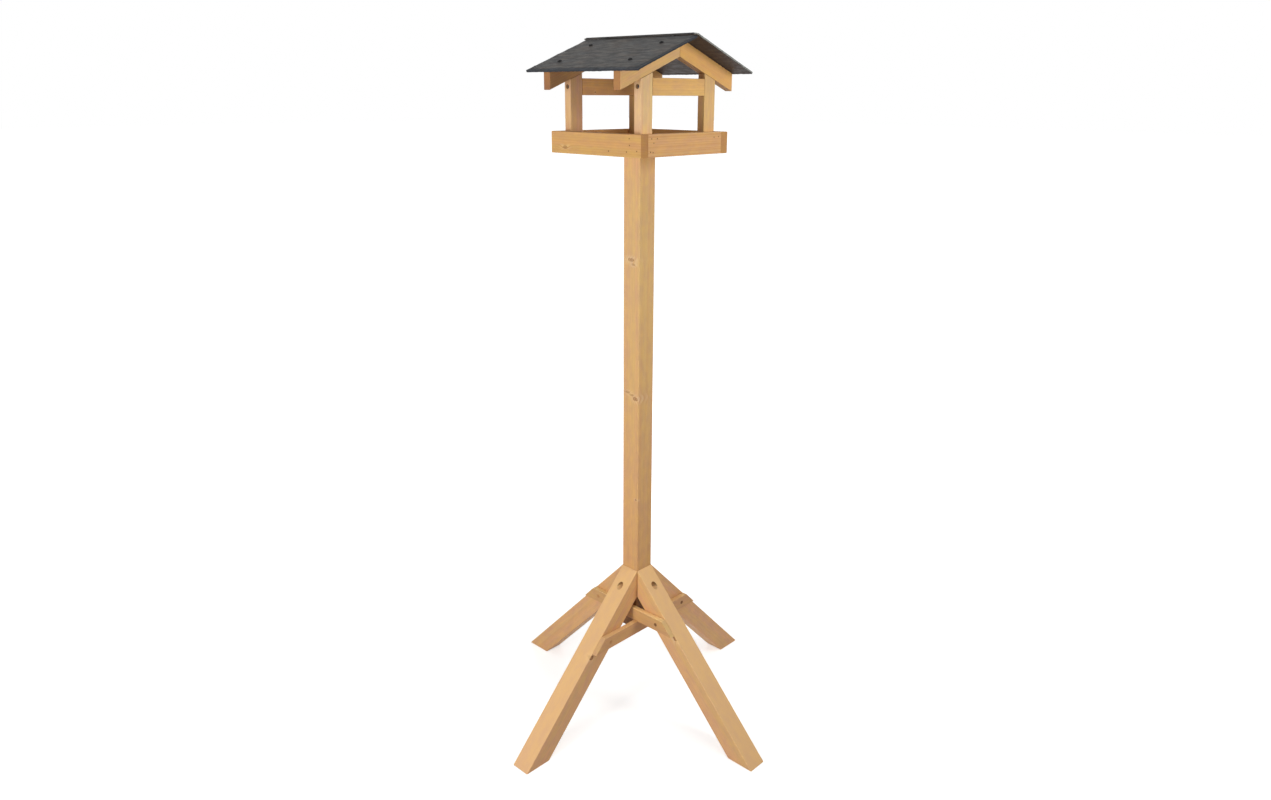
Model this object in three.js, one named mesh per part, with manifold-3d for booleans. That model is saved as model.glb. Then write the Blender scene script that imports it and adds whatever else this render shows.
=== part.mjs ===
// Bird table on a four-legged stand, in millimetres, with +Z up.
// The origin lies on the ground below the post. The gable ends face -Y and +Y,
// the ridge runs along Y, and the two slates fall towards -X (left) and +X (right).

import * as THREE from 'three';
import { mergeVertices } from 'three/addons/utils/BufferGeometryUtils.js';
import Module from 'manifold-3d';

const wasm = await Module();
wasm.setup();

// Joints and holes
const jointGap = 0.3;          // seam left between two pieces that are fixed together
const holeClearance = 0.3;     // room all round a screw in its hole
const cutOverrun = 5;          // how far a drill or saw cut runs past the timber

// Stand
const postSize = 45;           // square stock of the post and the legs
const postArris = 1.6;         // rounding of the planed long edges
const legTopHeight = 344;      // where the outer face of a leg meets the post
const footReach = 354;         // post axis to the toe of a foot
const postTail = 2.5;          // how far the post reaches below the lower tie

// Ties that hold opposite legs together
const tieHeight = 29;
const tieThickness = 12;
const tieArris = 1;
const tieLegRoom = 9.7;        // between the upper tie and the leg that it passes

// Tray
const trayHeightAboveGround = 1252;
const trayWidth = 252;         // across X
const trayLength = 243;        // along Y
const trayBoardHeight = 42;
const trayBoardThickness = 19;
const trayArris = 1.4;
const floorThickness = 10;
const floorRecess = 5;         // boards reach this far below the floor
const floorClearance = 0.5;    // room between the floor's edge and the boards
const drainRadius = 5;
const drainInset = 48;         // drain hole centre to the floor's edge

// Roof frame
const railWidth = 32;          // stock of the uprights, crossbars and rafters
const railThickness = 17;
const railArris = 1.2;
const uprightHeight = 124;     // outer edge of an upright, floor to rafter
const crossbarDrop = 9.6;      // crossbar's top below the inner corner of an upright's top
const roofPitch = THREE.MathUtils.degToRad(21);
const rafterReach = 160;       // ridge plane to the plumb-cut tail

// Slates
const slateLength = 300;       // along the ridge
const slateThickness = 5;
const slateEaveRun = 175;      // ridge line to the eave edge, down the slope
const slateLap = 9;            // how far the right slate runs over the ridge
const slateDressWidth = 5;     // width of the chipped bevel round the edge
const slateDressDepth = 3;
const slateRipple = 0.7;       // unevenness of the hand-dressed edges
const slateStepLength = 12;    // spacing of the points along a dressed edge
const slateRippleLength = 67;  // longest wave of the unevenness

// Leg screws, set in counterbores
const legScrewDrop = 33;       // screw below the top of the leg's outer face
const legScrewRadius = 3;
const legScrewHeadRadius = 5.6;
const legScrewHeadHeight = 3.6;
const legScrewGrip = 14;       // timber under the head
const legScrewWeb = 5.2;       // timber between a pilot hole's end and the post's axis
const legBoreRoom = 1.4;       // counterbore wider than the head, all round

// Tie screws, countersunk flush
const tieScrewRadius = 2;
const tieScrewHeadRadius = 4;
const tieScrewHeadHeight = 2.6;
const tieScrewLength = 34;

// Upright screws, set in counterbores
const uprightScrewRadius = 2;
const uprightScrewHeadRadius = 3.8;
const uprightScrewHeadHeight = 2.4;
const uprightScrewBite = 20;   // length in the crossbar
const uprightBoreRoom = 0.6;   // counterbore wider than the head, all round
const uprightBoreDepth = 5;

// Floor screws, countersunk flush, down into the end of the post
const floorScrewRadius = 2.2;
const floorScrewHeadRadius = 4.2;
const floorScrewHeadHeight = 2.8;
const floorScrewLength = 50;
const floorScrewOffset = 12;   // from the post axis along X and Y

// Slate screws with domed heads that sit on the slate
const slateScrewRadius = 2;
const slateScrewHeadRadius = 4.3;
const slateScrewHeadHeight = 2.6;
const slateScrewBite = 20;     // length in the rafter
const slateScrewUpperRun = 44; // ridge line to the upper screws, down the slope
const slateScrewLowerRun = 133;

// Facets
const arrisSegments = 2;
const boreSegments = 16;
const screwSegments = 12;

// Rounding of a domed screw head, as shares of its radius and its height
const domeShares = [[1, 0.35], [0.82, 0.76], [0.45, 1]];

// Worked-out places
const postHalf = postSize / 2;
const legAngle = Math.atan2(legTopHeight, footReach - postHalf);
const legRun = postSize / Math.sin(legAngle);
const legScrewHeight = legTopHeight - legScrewDrop;
const legScrewBite = postHalf - legScrewWeb - holeClearance;
const legBoreRadius = legScrewHeadRadius + legBoreRoom;
const tieTop = legTopHeight
  - Math.tan(legAngle) * (legRun + jointGap + tieThickness + tieLegRoom);
const tieUpperHeight = tieTop - tieHeight;
const tieLowerHeight = tieUpperHeight - jointGap - tieHeight;
const postBottom = tieLowerHeight - postTail;
const floorBottom = trayHeightAboveGround + floorRecess;
const floorTop = floorBottom + floorThickness;
const postTop = floorBottom - jointGap;
const innerWidth = trayWidth - 2 * trayBoardThickness;
const innerLength = trayLength - 2 * trayBoardThickness;
const uprightOuter = innerWidth / 2 - jointGap;
const uprightInner = uprightOuter - railWidth;
const frameLine = innerLength / 2 - jointGap - railThickness / 2;
const uprightFoot = floorTop + jointGap;
const uprightShoulder = uprightFoot + uprightHeight;
const uprightBoreRadius = uprightScrewHeadRadius + uprightBoreRoom;
const crossbarTop = uprightShoulder + railWidth * Math.tan(roofPitch) - crossbarDrop;
const crossbarMiddle = crossbarTop - railWidth / 2;
const rafterPlumbDepth = railWidth / Math.cos(roofPitch);
const ridgeHeight = uprightShoulder + jointGap / Math.cos(roofPitch)
  + uprightOuter * Math.tan(roofPitch) + rafterPlumbDepth;
const lapAngle = 2 * roofPitch;
const slateSetback = slateThickness / Math.tan(lapAngle) + jointGap / Math.sin(lapAngle);

// Colours, roughness and metalness of the finishes
const pine = { color: 0xd9a765, roughness: 0.62, metalness: 0 };
const pineLight = { color: 0xe0b377, roughness: 0.62, metalness: 0 };
const slateGrey = { color: 0x4b4b4d, roughness: 0.8, metalness: 0 };
const zinc = { color: 0x8f8d86, roughness: 0.38, metalness: 0.9 };
const darkSteel = { color: 0x26262a, roughness: 0.5, metalness: 0.7 };

const X_AXIS = new THREE.Vector3(1, 0, 0);
const Y_AXIS = new THREE.Vector3(0, 1, 0);
const Z_AXIS = new THREE.Vector3(0, 0, 1);

// A closed geometry as a solid that can be joined and cut
function toSolid(geometry) {
  const plain = geometry.clone();
  plain.deleteAttribute('normal');
  plain.deleteAttribute('uv');
  const merged = mergeVertices(plain);
  return new wasm.Manifold(new wasm.Mesh({
    numProp: 3,
    vertProperties: new Float32Array(merged.attributes.position.array),
    triVerts: new Uint32Array(merged.index.array),
  }));
}

function toGeometry(solid) {
  const mesh = solid.getMesh();
  const geometry = new THREE.BufferGeometry();
  geometry.setAttribute('position', new THREE.BufferAttribute(mesh.vertProperties, 3));
  geometry.setIndex(new THREE.BufferAttribute(mesh.triVerts, 1));
  geometry.computeVertexNormals();
  return geometry;
}

function piece(name, solid, finish) {
  const material = new THREE.MeshStandardMaterial({ ...finish, flatShading: true });
  const mesh = new THREE.Mesh(toGeometry(solid), material);
  mesh.name = name;
  return mesh;
}

// Section of planed timber with rounded arrises, centred on the origin
function timberSection(width, thickness, arris) {
  const x = width / 2;
  const y = thickness / 2;
  const section = new THREE.Shape();
  section.moveTo(-x + arris, -y);
  section.lineTo(x - arris, -y);
  section.absarc(x - arris, -y + arris, arris, -Math.PI / 2, 0, false);
  section.lineTo(x, y - arris);
  section.absarc(x - arris, y - arris, arris, 0, Math.PI / 2, false);
  section.lineTo(-x + arris, y);
  section.absarc(-x + arris, y - arris, arris, Math.PI / 2, Math.PI, false);
  section.lineTo(-x, -y + arris);
  section.absarc(-x + arris, -y + arris, arris, Math.PI, 1.5 * Math.PI, false);
  return section;
}

// Length of planed timber that starts at the origin and runs up Z
function timber(width, thickness, length, arris) {
  return new THREE.ExtrudeGeometry(timberSection(width, thickness, arris), {
    depth: length,
    bevelEnabled: false,
    curveSegments: arrisSegments,
  });
}

// Length of planed timber centred on the origin and lying along X, its height along Z
function timberAlongX(height, thickness, length, arris) {
  return timber(height, thickness, length, arris)
    .translate(0, 0, -length / 2)
    .rotateY(Math.PI / 2);
}

// Takes away all that lies past a plane, on the side that its normal points to.
// The block that is taken away stands on the plane and covers the whole solid.
function sawOff(solid, point, normal) {
  const { min, max } = solid.boundingBox();
  const bounds = new THREE.Box3(new THREE.Vector3(...min), new THREE.Vector3(...max));
  const reach = bounds.getSize(new THREE.Vector3()).length();
  const plane = new THREE.Plane().setFromNormalAndCoplanarPoint(normal, point);
  const foot = plane.projectPoint(bounds.getCenter(new THREE.Vector3()), new THREE.Vector3());
  const block = new THREE.BoxGeometry(2 * reach, 2 * reach, 2 * reach);
  block.translate(0, 0, reach);
  block.applyQuaternion(new THREE.Quaternion().setFromUnitVectors(Z_AXIS, normal));
  block.translate(foot.x, foot.y, foot.z);
  return solid.subtract(toSolid(block));
}

// Rod from one point to another
function rod(radius, from, to) {
  const run = to.clone().sub(from);
  const geometry = new THREE.CylinderGeometry(radius, radius, run.length(), boreSegments);
  geometry.translate(0, run.length() / 2, 0);
  geometry.applyQuaternion(new THREE.Quaternion().setFromUnitVectors(Y_AXIS, run.normalize()));
  geometry.translate(from.x, from.y, from.z);
  return toSolid(geometry);
}

// Cone that narrows from one point to another
function cone(fromRadius, toRadius, from, to) {
  const run = to.clone().sub(from);
  const geometry = new THREE.CylinderGeometry(toRadius, fromRadius, run.length(), boreSegments);
  geometry.translate(0, run.length() / 2, 0);
  geometry.applyQuaternion(new THREE.Quaternion().setFromUnitVectors(Y_AXIS, run.normalize()));
  geometry.translate(from.x, from.y, from.z);
  return toSolid(geometry);
}

// Screw with a domed head: the seat of the head is at the origin, the point is down Z
function domedScrew(headRadius, headHeight, shankRadius, length) {
  const tip = shankRadius;
  const profile = [
    new THREE.Vector2(0, -length),
    new THREE.Vector2(shankRadius, -length + tip),
    new THREE.Vector2(shankRadius, 0),
    new THREE.Vector2(headRadius, 0),
    ...domeShares.map(([wide, high]) => new THREE.Vector2(headRadius * wide, headHeight * high)),
    new THREE.Vector2(0, headHeight),
  ];
  return new THREE.LatheGeometry(profile, screwSegments).rotateX(Math.PI / 2);
}

// Screw with a countersunk head: the face of the head is at the origin, the point is down Z
function countersunkScrew(headRadius, headHeight, shankRadius, length) {
  const tip = shankRadius;
  const profile = [
    new THREE.Vector2(0, -length),
    new THREE.Vector2(shankRadius, -length + tip),
    new THREE.Vector2(shankRadius, -headHeight),
    new THREE.Vector2(headRadius, 0),
    new THREE.Vector2(0, 0),
  ];
  return new THREE.LatheGeometry(profile, screwSegments).rotateX(Math.PI / 2);
}

// Turns a screw made along Z so that its head faces the given way
function pointHead(geometry, direction) {
  return geometry.applyQuaternion(new THREE.Quaternion().setFromUnitVectors(Z_AXIS, direction));
}

// Outer face of a leg at a height above the ground, measured from the post axis
function legOuterAt(height) {
  return postHalf + (legTopHeight - height) / Math.tan(legAngle);
}

// Post, with pilot holes for the leg screws and, in its top end, for the floor screws
function makePost() {
  const height = postTop - postBottom;
  const blank = timber(postSize, postSize, height, postArris).translate(0, 0, postBottom);
  let solid = toSolid(blank);
  for (const way of [X_AXIS, Y_AXIS]) {
    for (const side of [-1, 1]) {
      const inner = way.clone().multiplyScalar(side * legScrewWeb);
      const outer = way.clone().multiplyScalar(side * (postHalf + cutOverrun));
      inner.z = legScrewHeight;
      outer.z = legScrewHeight;
      solid = solid.subtract(rod(legScrewRadius + holeClearance, inner, outer));
    }
  }
  const pilotDepth = floorScrewLength - floorThickness;
  for (const [x, y] of floorScrewPlaces()) {
    const bottom = new THREE.Vector3(x, y, postTop - pilotDepth);
    const top = new THREE.Vector3(x, y, postTop + cutOverrun);
    solid = solid.subtract(rod(floorScrewRadius + holeClearance, bottom, top));
  }
  return piece('post', solid, pine);
}

// Leg that slopes out along +X, seated on the post and cut level on the ground
function makeLeg(name) {
  const length = Math.hypot(legTopHeight, footReach) + 2 * postSize;
  const middleX = (postHalf + footReach) / 2 - Math.sin(legAngle) * postHalf;
  const middleZ = legTopHeight / 2 - Math.cos(legAngle) * postHalf;
  const blank = timberAlongX(postSize, postSize, length, postArris)
    .rotateY(legAngle)
    .translate(middleX, 0, middleZ);
  const seat = new THREE.Vector3(postHalf + jointGap, 0, 0);
  let solid = sawOff(toSolid(blank), seat, X_AXIS.clone().negate());
  solid = sawOff(solid, new THREE.Vector3(0, 0, 0), Z_AXIS.clone().negate());
  const shoulder = new THREE.Vector3(postHalf + jointGap + legScrewGrip, 0, legScrewHeight);
  const mouth = new THREE.Vector3(legOuterAt(0), 0, legScrewHeight);
  const exit = new THREE.Vector3(postHalf - cutOverrun, 0, legScrewHeight);
  solid = solid.subtract(rod(legBoreRadius, shoulder, mouth));
  solid = solid.subtract(rod(legScrewRadius + holeClearance, exit, mouth));
  return piece(name, solid, pineLight);
}

function makeLegScrew(name) {
  const length = legScrewGrip + legScrewBite;
  const screw = domedScrew(legScrewHeadRadius, legScrewHeadHeight, legScrewRadius, length);
  const mesh = piece(name, toSolid(pointHead(screw, X_AXIS)), zinc);
  mesh.position.set(postHalf + 2 * jointGap + legScrewGrip, 0, legScrewHeight);
  return mesh;
}

// The tie screws enter the legs on their centre lines
function tieScrewOffset(bottom) {
  return legOuterAt(bottom + tieHeight / 2) - legRun / 2;
}

// Tie across two opposite legs, along X, its ends cut to the slope of the legs
function makeTie(name, bottom) {
  const middle = bottom + tieHeight / 2;
  const length = 2 * legOuterAt(bottom) + 2 * cutOverrun;
  let solid = toSolid(timberAlongX(tieHeight, tieThickness, length, tieArris));
  for (const side of [-1, 1]) {
    const slope = new THREE.Vector3(side * Math.sin(legAngle), 0, Math.cos(legAngle));
    solid = sawOff(solid, new THREE.Vector3(side * legOuterAt(middle), 0, 0), slope);
    const x = side * tieScrewOffset(bottom);
    const face = new THREE.Vector3(x, -tieThickness / 2, 0);
    const seat = new THREE.Vector3(x, -tieThickness / 2 + tieScrewHeadHeight, 0);
    const back = new THREE.Vector3(x, tieThickness / 2 + cutOverrun, 0);
    const headRadius = tieScrewHeadRadius + holeClearance;
    const holeRadius = tieScrewRadius + holeClearance;
    solid = solid.subtract(cone(headRadius, holeRadius, face, seat));
    solid = solid.subtract(rod(holeRadius, face, back));
  }
  return piece(name, solid, pine);
}

// A tie and its two screws, as they lie against the -Y sides of the legs along X
function makeTieSet(name, bottom, ends) {
  const set = new THREE.Group();
  const tie = makeTie(name, bottom);
  const standOff = postHalf + jointGap + tieThickness / 2;
  tie.position.set(0, -standOff, bottom + tieHeight / 2);
  set.add(tie);
  for (const [end, side] of ends) {
    const blank = countersunkScrew(tieScrewHeadRadius, tieScrewHeadHeight, tieScrewRadius, tieScrewLength);
    const screw = piece(`${name}_screw_${end}`, toSolid(pointHead(blank, Y_AXIS.clone().negate())), zinc);
    screw.position.set(side * tieScrewOffset(bottom), tie.position.y - tieThickness / 2, tie.position.z);
    set.add(screw);
  }
  return set;
}

// The legs' side faces take the tie screws in pilot holes
function drillForTie(leg, bottom, side) {
  const x = tieScrewOffset(bottom);
  const z = bottom + tieHeight / 2;
  const inLeg = tieScrewLength - tieThickness;
  const from = new THREE.Vector3(x, side * (postHalf + cutOverrun), z);
  const to = new THREE.Vector3(x, side * (postHalf - inLeg - holeClearance), z);
  const drilled = toSolid(leg.geometry).subtract(rod(tieScrewRadius + holeClearance, from, to));
  leg.geometry = toGeometry(drilled);
}

// Stand: post, four legs a quarter turn apart, and two ties, one lying on the other
function makeStand() {
  const stand = new THREE.Group();
  stand.add(makePost());
  const quarters = ['right', 'back', 'left', 'front'];
  const tieBottoms = [tieLowerHeight, tieUpperHeight, tieLowerHeight, tieUpperHeight];
  const tieSides = [-1, 1, 1, -1];
  quarters.forEach((quarter, turn) => {
    const arm = new THREE.Group();
    const leg = makeLeg(`leg_${quarter}`);
    drillForTie(leg, tieBottoms[turn], tieSides[turn]);
    arm.add(leg);
    arm.add(makeLegScrew(`leg_screw_${quarter}`));
    arm.rotation.z = turn * Math.PI / 2;
    stand.add(arm);
  });
  stand.add(makeTieSet('tie_lower', tieLowerHeight, [['left', -1], ['right', 1]]));
  const upper = makeTieSet('tie_upper', tieUpperHeight, [['back', -1], ['front', 1]]);
  upper.rotation.z = -Math.PI / 2;
  stand.add(upper);
  return stand;
}

// Four places round the post axis
function floorScrewPlaces() {
  const signs = [-1, 1];
  return signs.flatMap((sx) => signs.map((sy) => [sx * floorScrewOffset, sy * floorScrewOffset]));
}

// Tray floor with drain holes in the corners and countersunk holes for its screws
function makeFloor() {
  const width = innerWidth - 2 * floorClearance;
  const length = innerLength - 2 * floorClearance;
  let solid = toSolid(new THREE.BoxGeometry(width, length, floorThickness));
  const down = -floorThickness / 2;
  const up = floorThickness / 2;
  for (const sx of [-1, 1]) {
    for (const sy of [-1, 1]) {
      const x = sx * (width / 2 - drainInset);
      const y = sy * (length / 2 - drainInset);
      const below = new THREE.Vector3(x, y, down - cutOverrun);
      const above = new THREE.Vector3(x, y, up + cutOverrun);
      solid = solid.subtract(rod(drainRadius, below, above));
    }
  }
  for (const [x, y] of floorScrewPlaces()) {
    const face = new THREE.Vector3(x, y, up);
    const seat = new THREE.Vector3(x, y, up - floorScrewHeadHeight);
    const below = new THREE.Vector3(x, y, down - cutOverrun);
    const holeRadius = floorScrewRadius + holeClearance;
    solid = solid.subtract(cone(floorScrewHeadRadius + holeClearance, holeRadius, face, seat));
    solid = solid.subtract(rod(holeRadius, below, face));
  }
  const floor = piece('tray_floor', solid, pineLight);
  floor.position.z = floorBottom + floorThickness / 2;
  return floor;
}

// Tray: the two side boards run through and the end boards stand between them
function makeTray() {
  const tray = new THREE.Group();
  const boardMiddle = trayHeightAboveGround + trayBoardHeight / 2;
  for (const [name, side] of [['left', -1], ['right', 1]]) {
    const blank = timberAlongX(trayBoardHeight, trayBoardThickness, trayLength, trayArris);
    const board = piece(`tray_side_${name}`, toSolid(blank), pine);
    board.position.set(side * (trayWidth - trayBoardThickness) / 2, 0, boardMiddle);
    board.rotation.z = Math.PI / 2;
    tray.add(board);
  }
  for (const [name, side] of [['front', -1], ['back', 1]]) {
    const length = innerWidth - 2 * jointGap;
    const blank = timberAlongX(trayBoardHeight, trayBoardThickness, length, trayArris);
    const board = piece(`tray_end_${name}`, toSolid(blank), pineLight);
    board.position.set(0, side * (trayLength - trayBoardThickness) / 2, boardMiddle);
    tray.add(board);
  }
  tray.add(makeFloor());
  floorScrewPlaces().forEach(([x, y], index) => {
    const blank = countersunkScrew(
      floorScrewHeadRadius, floorScrewHeadHeight, floorScrewRadius, floorScrewLength);
    const screw = piece(`floor_screw_${index + 1}`, toSolid(blank), zinc);
    screw.position.set(x, y, floorTop);
    tray.add(screw);
  });
  return tray;
}

// Upright of the left side: its top is cut to the pitch, and its outer face is
// counterbored for the screw that holds the crossbar
function makeUpright(name) {
  const length = uprightHeight + railWidth;
  const blank = timber(railWidth, railThickness, length, railArris);
  const shoulder = new THREE.Vector3(-railWidth / 2, 0, uprightHeight);
  const underRafter = new THREE.Vector3(-Math.sin(roofPitch), 0, Math.cos(roofPitch));
  let solid = sawOff(toSolid(blank), shoulder, underRafter);
  const z = crossbarMiddle - uprightFoot;
  const outside = new THREE.Vector3(-railWidth / 2 - cutOverrun, 0, z);
  const seat = new THREE.Vector3(-railWidth / 2 + uprightBoreDepth, 0, z);
  const inside = new THREE.Vector3(railWidth / 2 + cutOverrun, 0, z);
  solid = solid.subtract(rod(uprightBoreRadius, outside, seat));
  solid = solid.subtract(rod(uprightScrewRadius + holeClearance, outside, inside));
  return piece(name, solid, pine);
}

function makeUprightScrew(name) {
  const length = railWidth - uprightBoreDepth + uprightScrewBite;
  const blank = domedScrew(uprightScrewHeadRadius, uprightScrewHeadHeight, uprightScrewRadius, length);
  return piece(name, toSolid(pointHead(blank, X_AXIS.clone().negate())), zinc);
}

// Crossbar between two uprights, drilled in both ends
function makeCrossbar(name) {
  const length = 2 * (uprightInner - jointGap);
  let solid = toSolid(timberAlongX(railWidth, railThickness, length, railArris));
  for (const side of [-1, 1]) {
    const outside = new THREE.Vector3(side * (length / 2 + cutOverrun), 0, 0);
    const bottom = new THREE.Vector3(side * (length / 2 - uprightScrewBite - jointGap), 0, 0);
    solid = solid.subtract(rod(uprightScrewRadius + holeClearance, outside, bottom));
  }
  return piece(name, solid, pineLight);
}

// Rafter of the left side in the frame of its slope: the top face is at Z 0 and
// the ridge line is at X 0. Both ends are cut plumb.
function makeRafter(name) {
  const length = rafterReach / Math.cos(roofPitch) + 2 * railWidth;
  const blank = timberAlongX(railWidth, railThickness, length, railArris)
    .translate(-rafterReach / Math.cos(roofPitch) / 2, 0, -railWidth / 2);
  const plumbOut = X_AXIS.clone().negate().applyAxisAngle(Y_AXIS, roofPitch);
  const plumbIn = plumbOut.clone().negate();
  const ridge = plumbOut.clone().multiplyScalar(jointGap / 2);
  const tail = plumbOut.clone().multiplyScalar(rafterReach);
  let solid = sawOff(toSolid(blank), ridge, plumbIn);
  solid = sawOff(solid, tail, plumbOut);
  for (const run of [slateScrewUpperRun, slateScrewLowerRun]) {
    const top = new THREE.Vector3(-run, 0, cutOverrun);
    const bottom = new THREE.Vector3(-run, 0, -slateScrewBite - jointGap);
    solid = solid.subtract(rod(slateScrewRadius + holeClearance, top, bottom));
  }
  return piece(name, solid, pineLight);
}

// Outline of a slate between two runs from the ridge line. The ridge edge is sawn straight.
// The other three are dressed by hand and waver inwards by a few tenths of a millimetre.
function slateOutline(fromRun, toRun) {
  const half = slateLength / 2;
  const corners = [
    new THREE.Vector2(-toRun, -half),
    new THREE.Vector2(-fromRun, -half),
    new THREE.Vector2(-fromRun, half),
    new THREE.Vector2(-toRun, half),
  ];
  const ripples = [slateRipple, 0, slateRipple, slateRipple];
  const points = [];
  corners.forEach((corner, index) => {
    const edge = corners[(index + 1) % corners.length].clone().sub(corner);
    const inward = new THREE.Vector2(-edge.y, edge.x).normalize();
    const waves = 2 * Math.PI * edge.length() / slateRippleLength;
    const steps = Math.round(edge.length() / slateStepLength);
    points.push(corner.clone());
    for (let step = 1; step < steps; step += 1) {
      const along = step / steps;
      const coarse = Math.sin(along * waves + index);
      const fine = Math.sin(along * waves * Math.E - index);
      const waverShare = (2 + coarse + fine) / 4;
      const point = corner.clone().addScaledVector(edge, along);
      points.push(point.addScaledVector(inward, ripples[index] * waverShare));
    }
  });
  return points;
}

// Solid between rings of equally many points, closed by a fan round the centre at both ends
function loftRings(rings, centre) {
  const positions = [];
  const index = [];
  for (const ring of rings) {
    for (const point of ring.points) {
      positions.push(point.x, point.y, ring.z);
    }
  }
  const count = rings[0].points.length;
  const bottomCentre = positions.length / 3;
  positions.push(centre.x, centre.y, rings[0].z);
  const topCentre = positions.length / 3;
  positions.push(centre.x, centre.y, rings[rings.length - 1].z);
  for (let i = 0; i < count; i += 1) {
    const j = (i + 1) % count;
    index.push(bottomCentre, j, i);
    for (let level = 0; level < rings.length - 1; level += 1) {
      const low = level * count;
      const high = low + count;
      index.push(low + i, low + j, high + j, low + i, high + j, high + i);
    }
    const last = (rings.length - 1) * count;
    index.push(topCentre, last + i, last + j);
  }
  const geometry = new THREE.BufferGeometry();
  geometry.setAttribute('position', new THREE.Float32BufferAttribute(positions, 3));
  geometry.setIndex(index);
  return geometry;
}

// Slate in the frame of its slope, its back on Z 0, with screw holes. Its top face stops
// short of the outline at the eave and the gable edges, which leaves the dressed bevel there.
function makeSlate(name, fromRun) {
  const outline = slateOutline(fromRun, slateEaveRun);
  const centre = new THREE.Vector2(-(fromRun + slateEaveRun) / 2, 0);
  const ridgeEdge = new THREE.Vector2(-fromRun, 0);
  const reach = new THREE.Vector2(slateEaveRun - fromRun, slateLength / 2);
  const dress = new THREE.Vector2(slateDressWidth, slateDressWidth);
  const faceShare = reach.clone().sub(dress).divide(reach);
  const face = outline.map((point) => point.clone().sub(ridgeEdge).multiply(faceShare).add(ridgeEdge));
  const rings = [
    { points: outline, z: 0 },
    { points: outline, z: slateThickness - slateDressDepth },
    { points: face, z: slateThickness },
  ];
  let solid = toSolid(loftRings(rings, centre));
  for (const run of [slateScrewUpperRun, slateScrewLowerRun]) {
    for (const side of [-1, 1]) {
      const below = new THREE.Vector3(-run, side * frameLine, -cutOverrun);
      const above = new THREE.Vector3(-run, side * frameLine, slateThickness + cutOverrun);
      solid = solid.subtract(rod(slateScrewRadius + holeClearance, below, above));
    }
  }
  return piece(name, solid, slateGrey);
}

function makeSlateScrew(name) {
  const length = slateThickness + jointGap + slateScrewBite;
  const blank = domedScrew(slateScrewHeadRadius, slateScrewHeadHeight, slateScrewRadius, length);
  return piece(name, toSolid(blank), darkSteel);
}

// One side of the roof, drawn for the left: two uprights, two rafters, a slate and screws.
// The frame of the slope has its origin on the ridge line and falls away along -X.
function makeRoofSide(name, slateFromRun, frontSign) {
  const side = new THREE.Group();
  const slope = new THREE.Group();
  slope.position.z = ridgeHeight;
  slope.rotation.y = -roofPitch;
  side.add(slope);
  for (const [end, sign] of [['front', frontSign], ['back', -frontSign]]) {
    const y = sign * frameLine;
    const upright = makeUpright(`upright_${name}_${end}`);
    upright.position.set(-(uprightOuter + uprightInner) / 2, y, uprightFoot);
    side.add(upright);
    const uprightScrew = makeUprightScrew(`upright_screw_${name}_${end}`);
    uprightScrew.position.set(-uprightOuter + uprightBoreDepth - jointGap, y, crossbarMiddle);
    side.add(uprightScrew);
    const rafter = makeRafter(`rafter_${name}_${end}`);
    rafter.position.y = y;
    slope.add(rafter);
    for (const [level, run] of [['upper', slateScrewUpperRun], ['lower', slateScrewLowerRun]]) {
      const screw = makeSlateScrew(`slate_screw_${name}_${end}_${level}`);
      screw.position.set(-run, y, 2 * jointGap + slateThickness);
      slope.add(screw);
    }
  }
  const slate = makeSlate(`slate_${name}`, slateFromRun);
  slate.position.z = jointGap;
  slope.add(slate);
  return side;
}

// Roof: both sides and the two crossbars. The right slate laps over the left one.
function makeRoof() {
  const roof = new THREE.Group();
  roof.add(makeRoofSide('left', slateSetback, -1));
  const right = makeRoofSide('right', -slateLap, 1);
  right.rotation.z = Math.PI;
  roof.add(right);
  for (const [name, sign] of [['front', -1], ['back', 1]]) {
    const crossbar = makeCrossbar(`crossbar_${name}`);
    crossbar.position.set(0, sign * frameLine, crossbarMiddle);
    roof.add(crossbar);
  }
  return roof;
}

const birdTable = new THREE.Group();
birdTable.add(makeStand());
birdTable.add(makeTray());
birdTable.add(makeRoof());

export default birdTable;
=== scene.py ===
# %% [markdown]
# # A bird table with a slate roof
#
# The real object is a garden bird table: a square post on four splayed legs, a shallow
# tray, and a roof of two slates on a light frame. It is planed pine with a honey-coloured
# stain, held by screws and small nails. The imported CAD model gives every timber its true
# size and place. This lesson dresses those timbers as real wood, and makes the slates, the
# screws and the nails afresh.
#
# The first step loads the CAD model as a fixed frame. Nothing made later may stand outside
# it.

# %% Load the imported model
import math
import random

import bmesh
import bpy
from mathutils import Matrix, Vector


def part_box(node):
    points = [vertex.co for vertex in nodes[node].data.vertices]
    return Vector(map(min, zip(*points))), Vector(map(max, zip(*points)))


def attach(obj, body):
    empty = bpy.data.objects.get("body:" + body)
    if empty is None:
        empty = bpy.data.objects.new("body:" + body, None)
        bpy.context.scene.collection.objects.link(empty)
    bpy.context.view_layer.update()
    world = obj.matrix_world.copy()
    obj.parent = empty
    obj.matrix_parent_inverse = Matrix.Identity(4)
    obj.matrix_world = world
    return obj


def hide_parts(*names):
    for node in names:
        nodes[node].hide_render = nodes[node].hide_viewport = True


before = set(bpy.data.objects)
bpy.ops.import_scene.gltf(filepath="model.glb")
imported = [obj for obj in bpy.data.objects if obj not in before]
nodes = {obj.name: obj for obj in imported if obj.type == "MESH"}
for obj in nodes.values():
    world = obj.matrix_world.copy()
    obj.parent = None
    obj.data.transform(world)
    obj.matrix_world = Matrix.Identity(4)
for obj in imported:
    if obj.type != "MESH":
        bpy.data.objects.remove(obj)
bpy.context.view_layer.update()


def rounded(*corners):
    """The numbers of some corners to a tenth of a millimetre, for printing."""
    return [round(v, 4) for corner in corners for v in corner]


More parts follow.
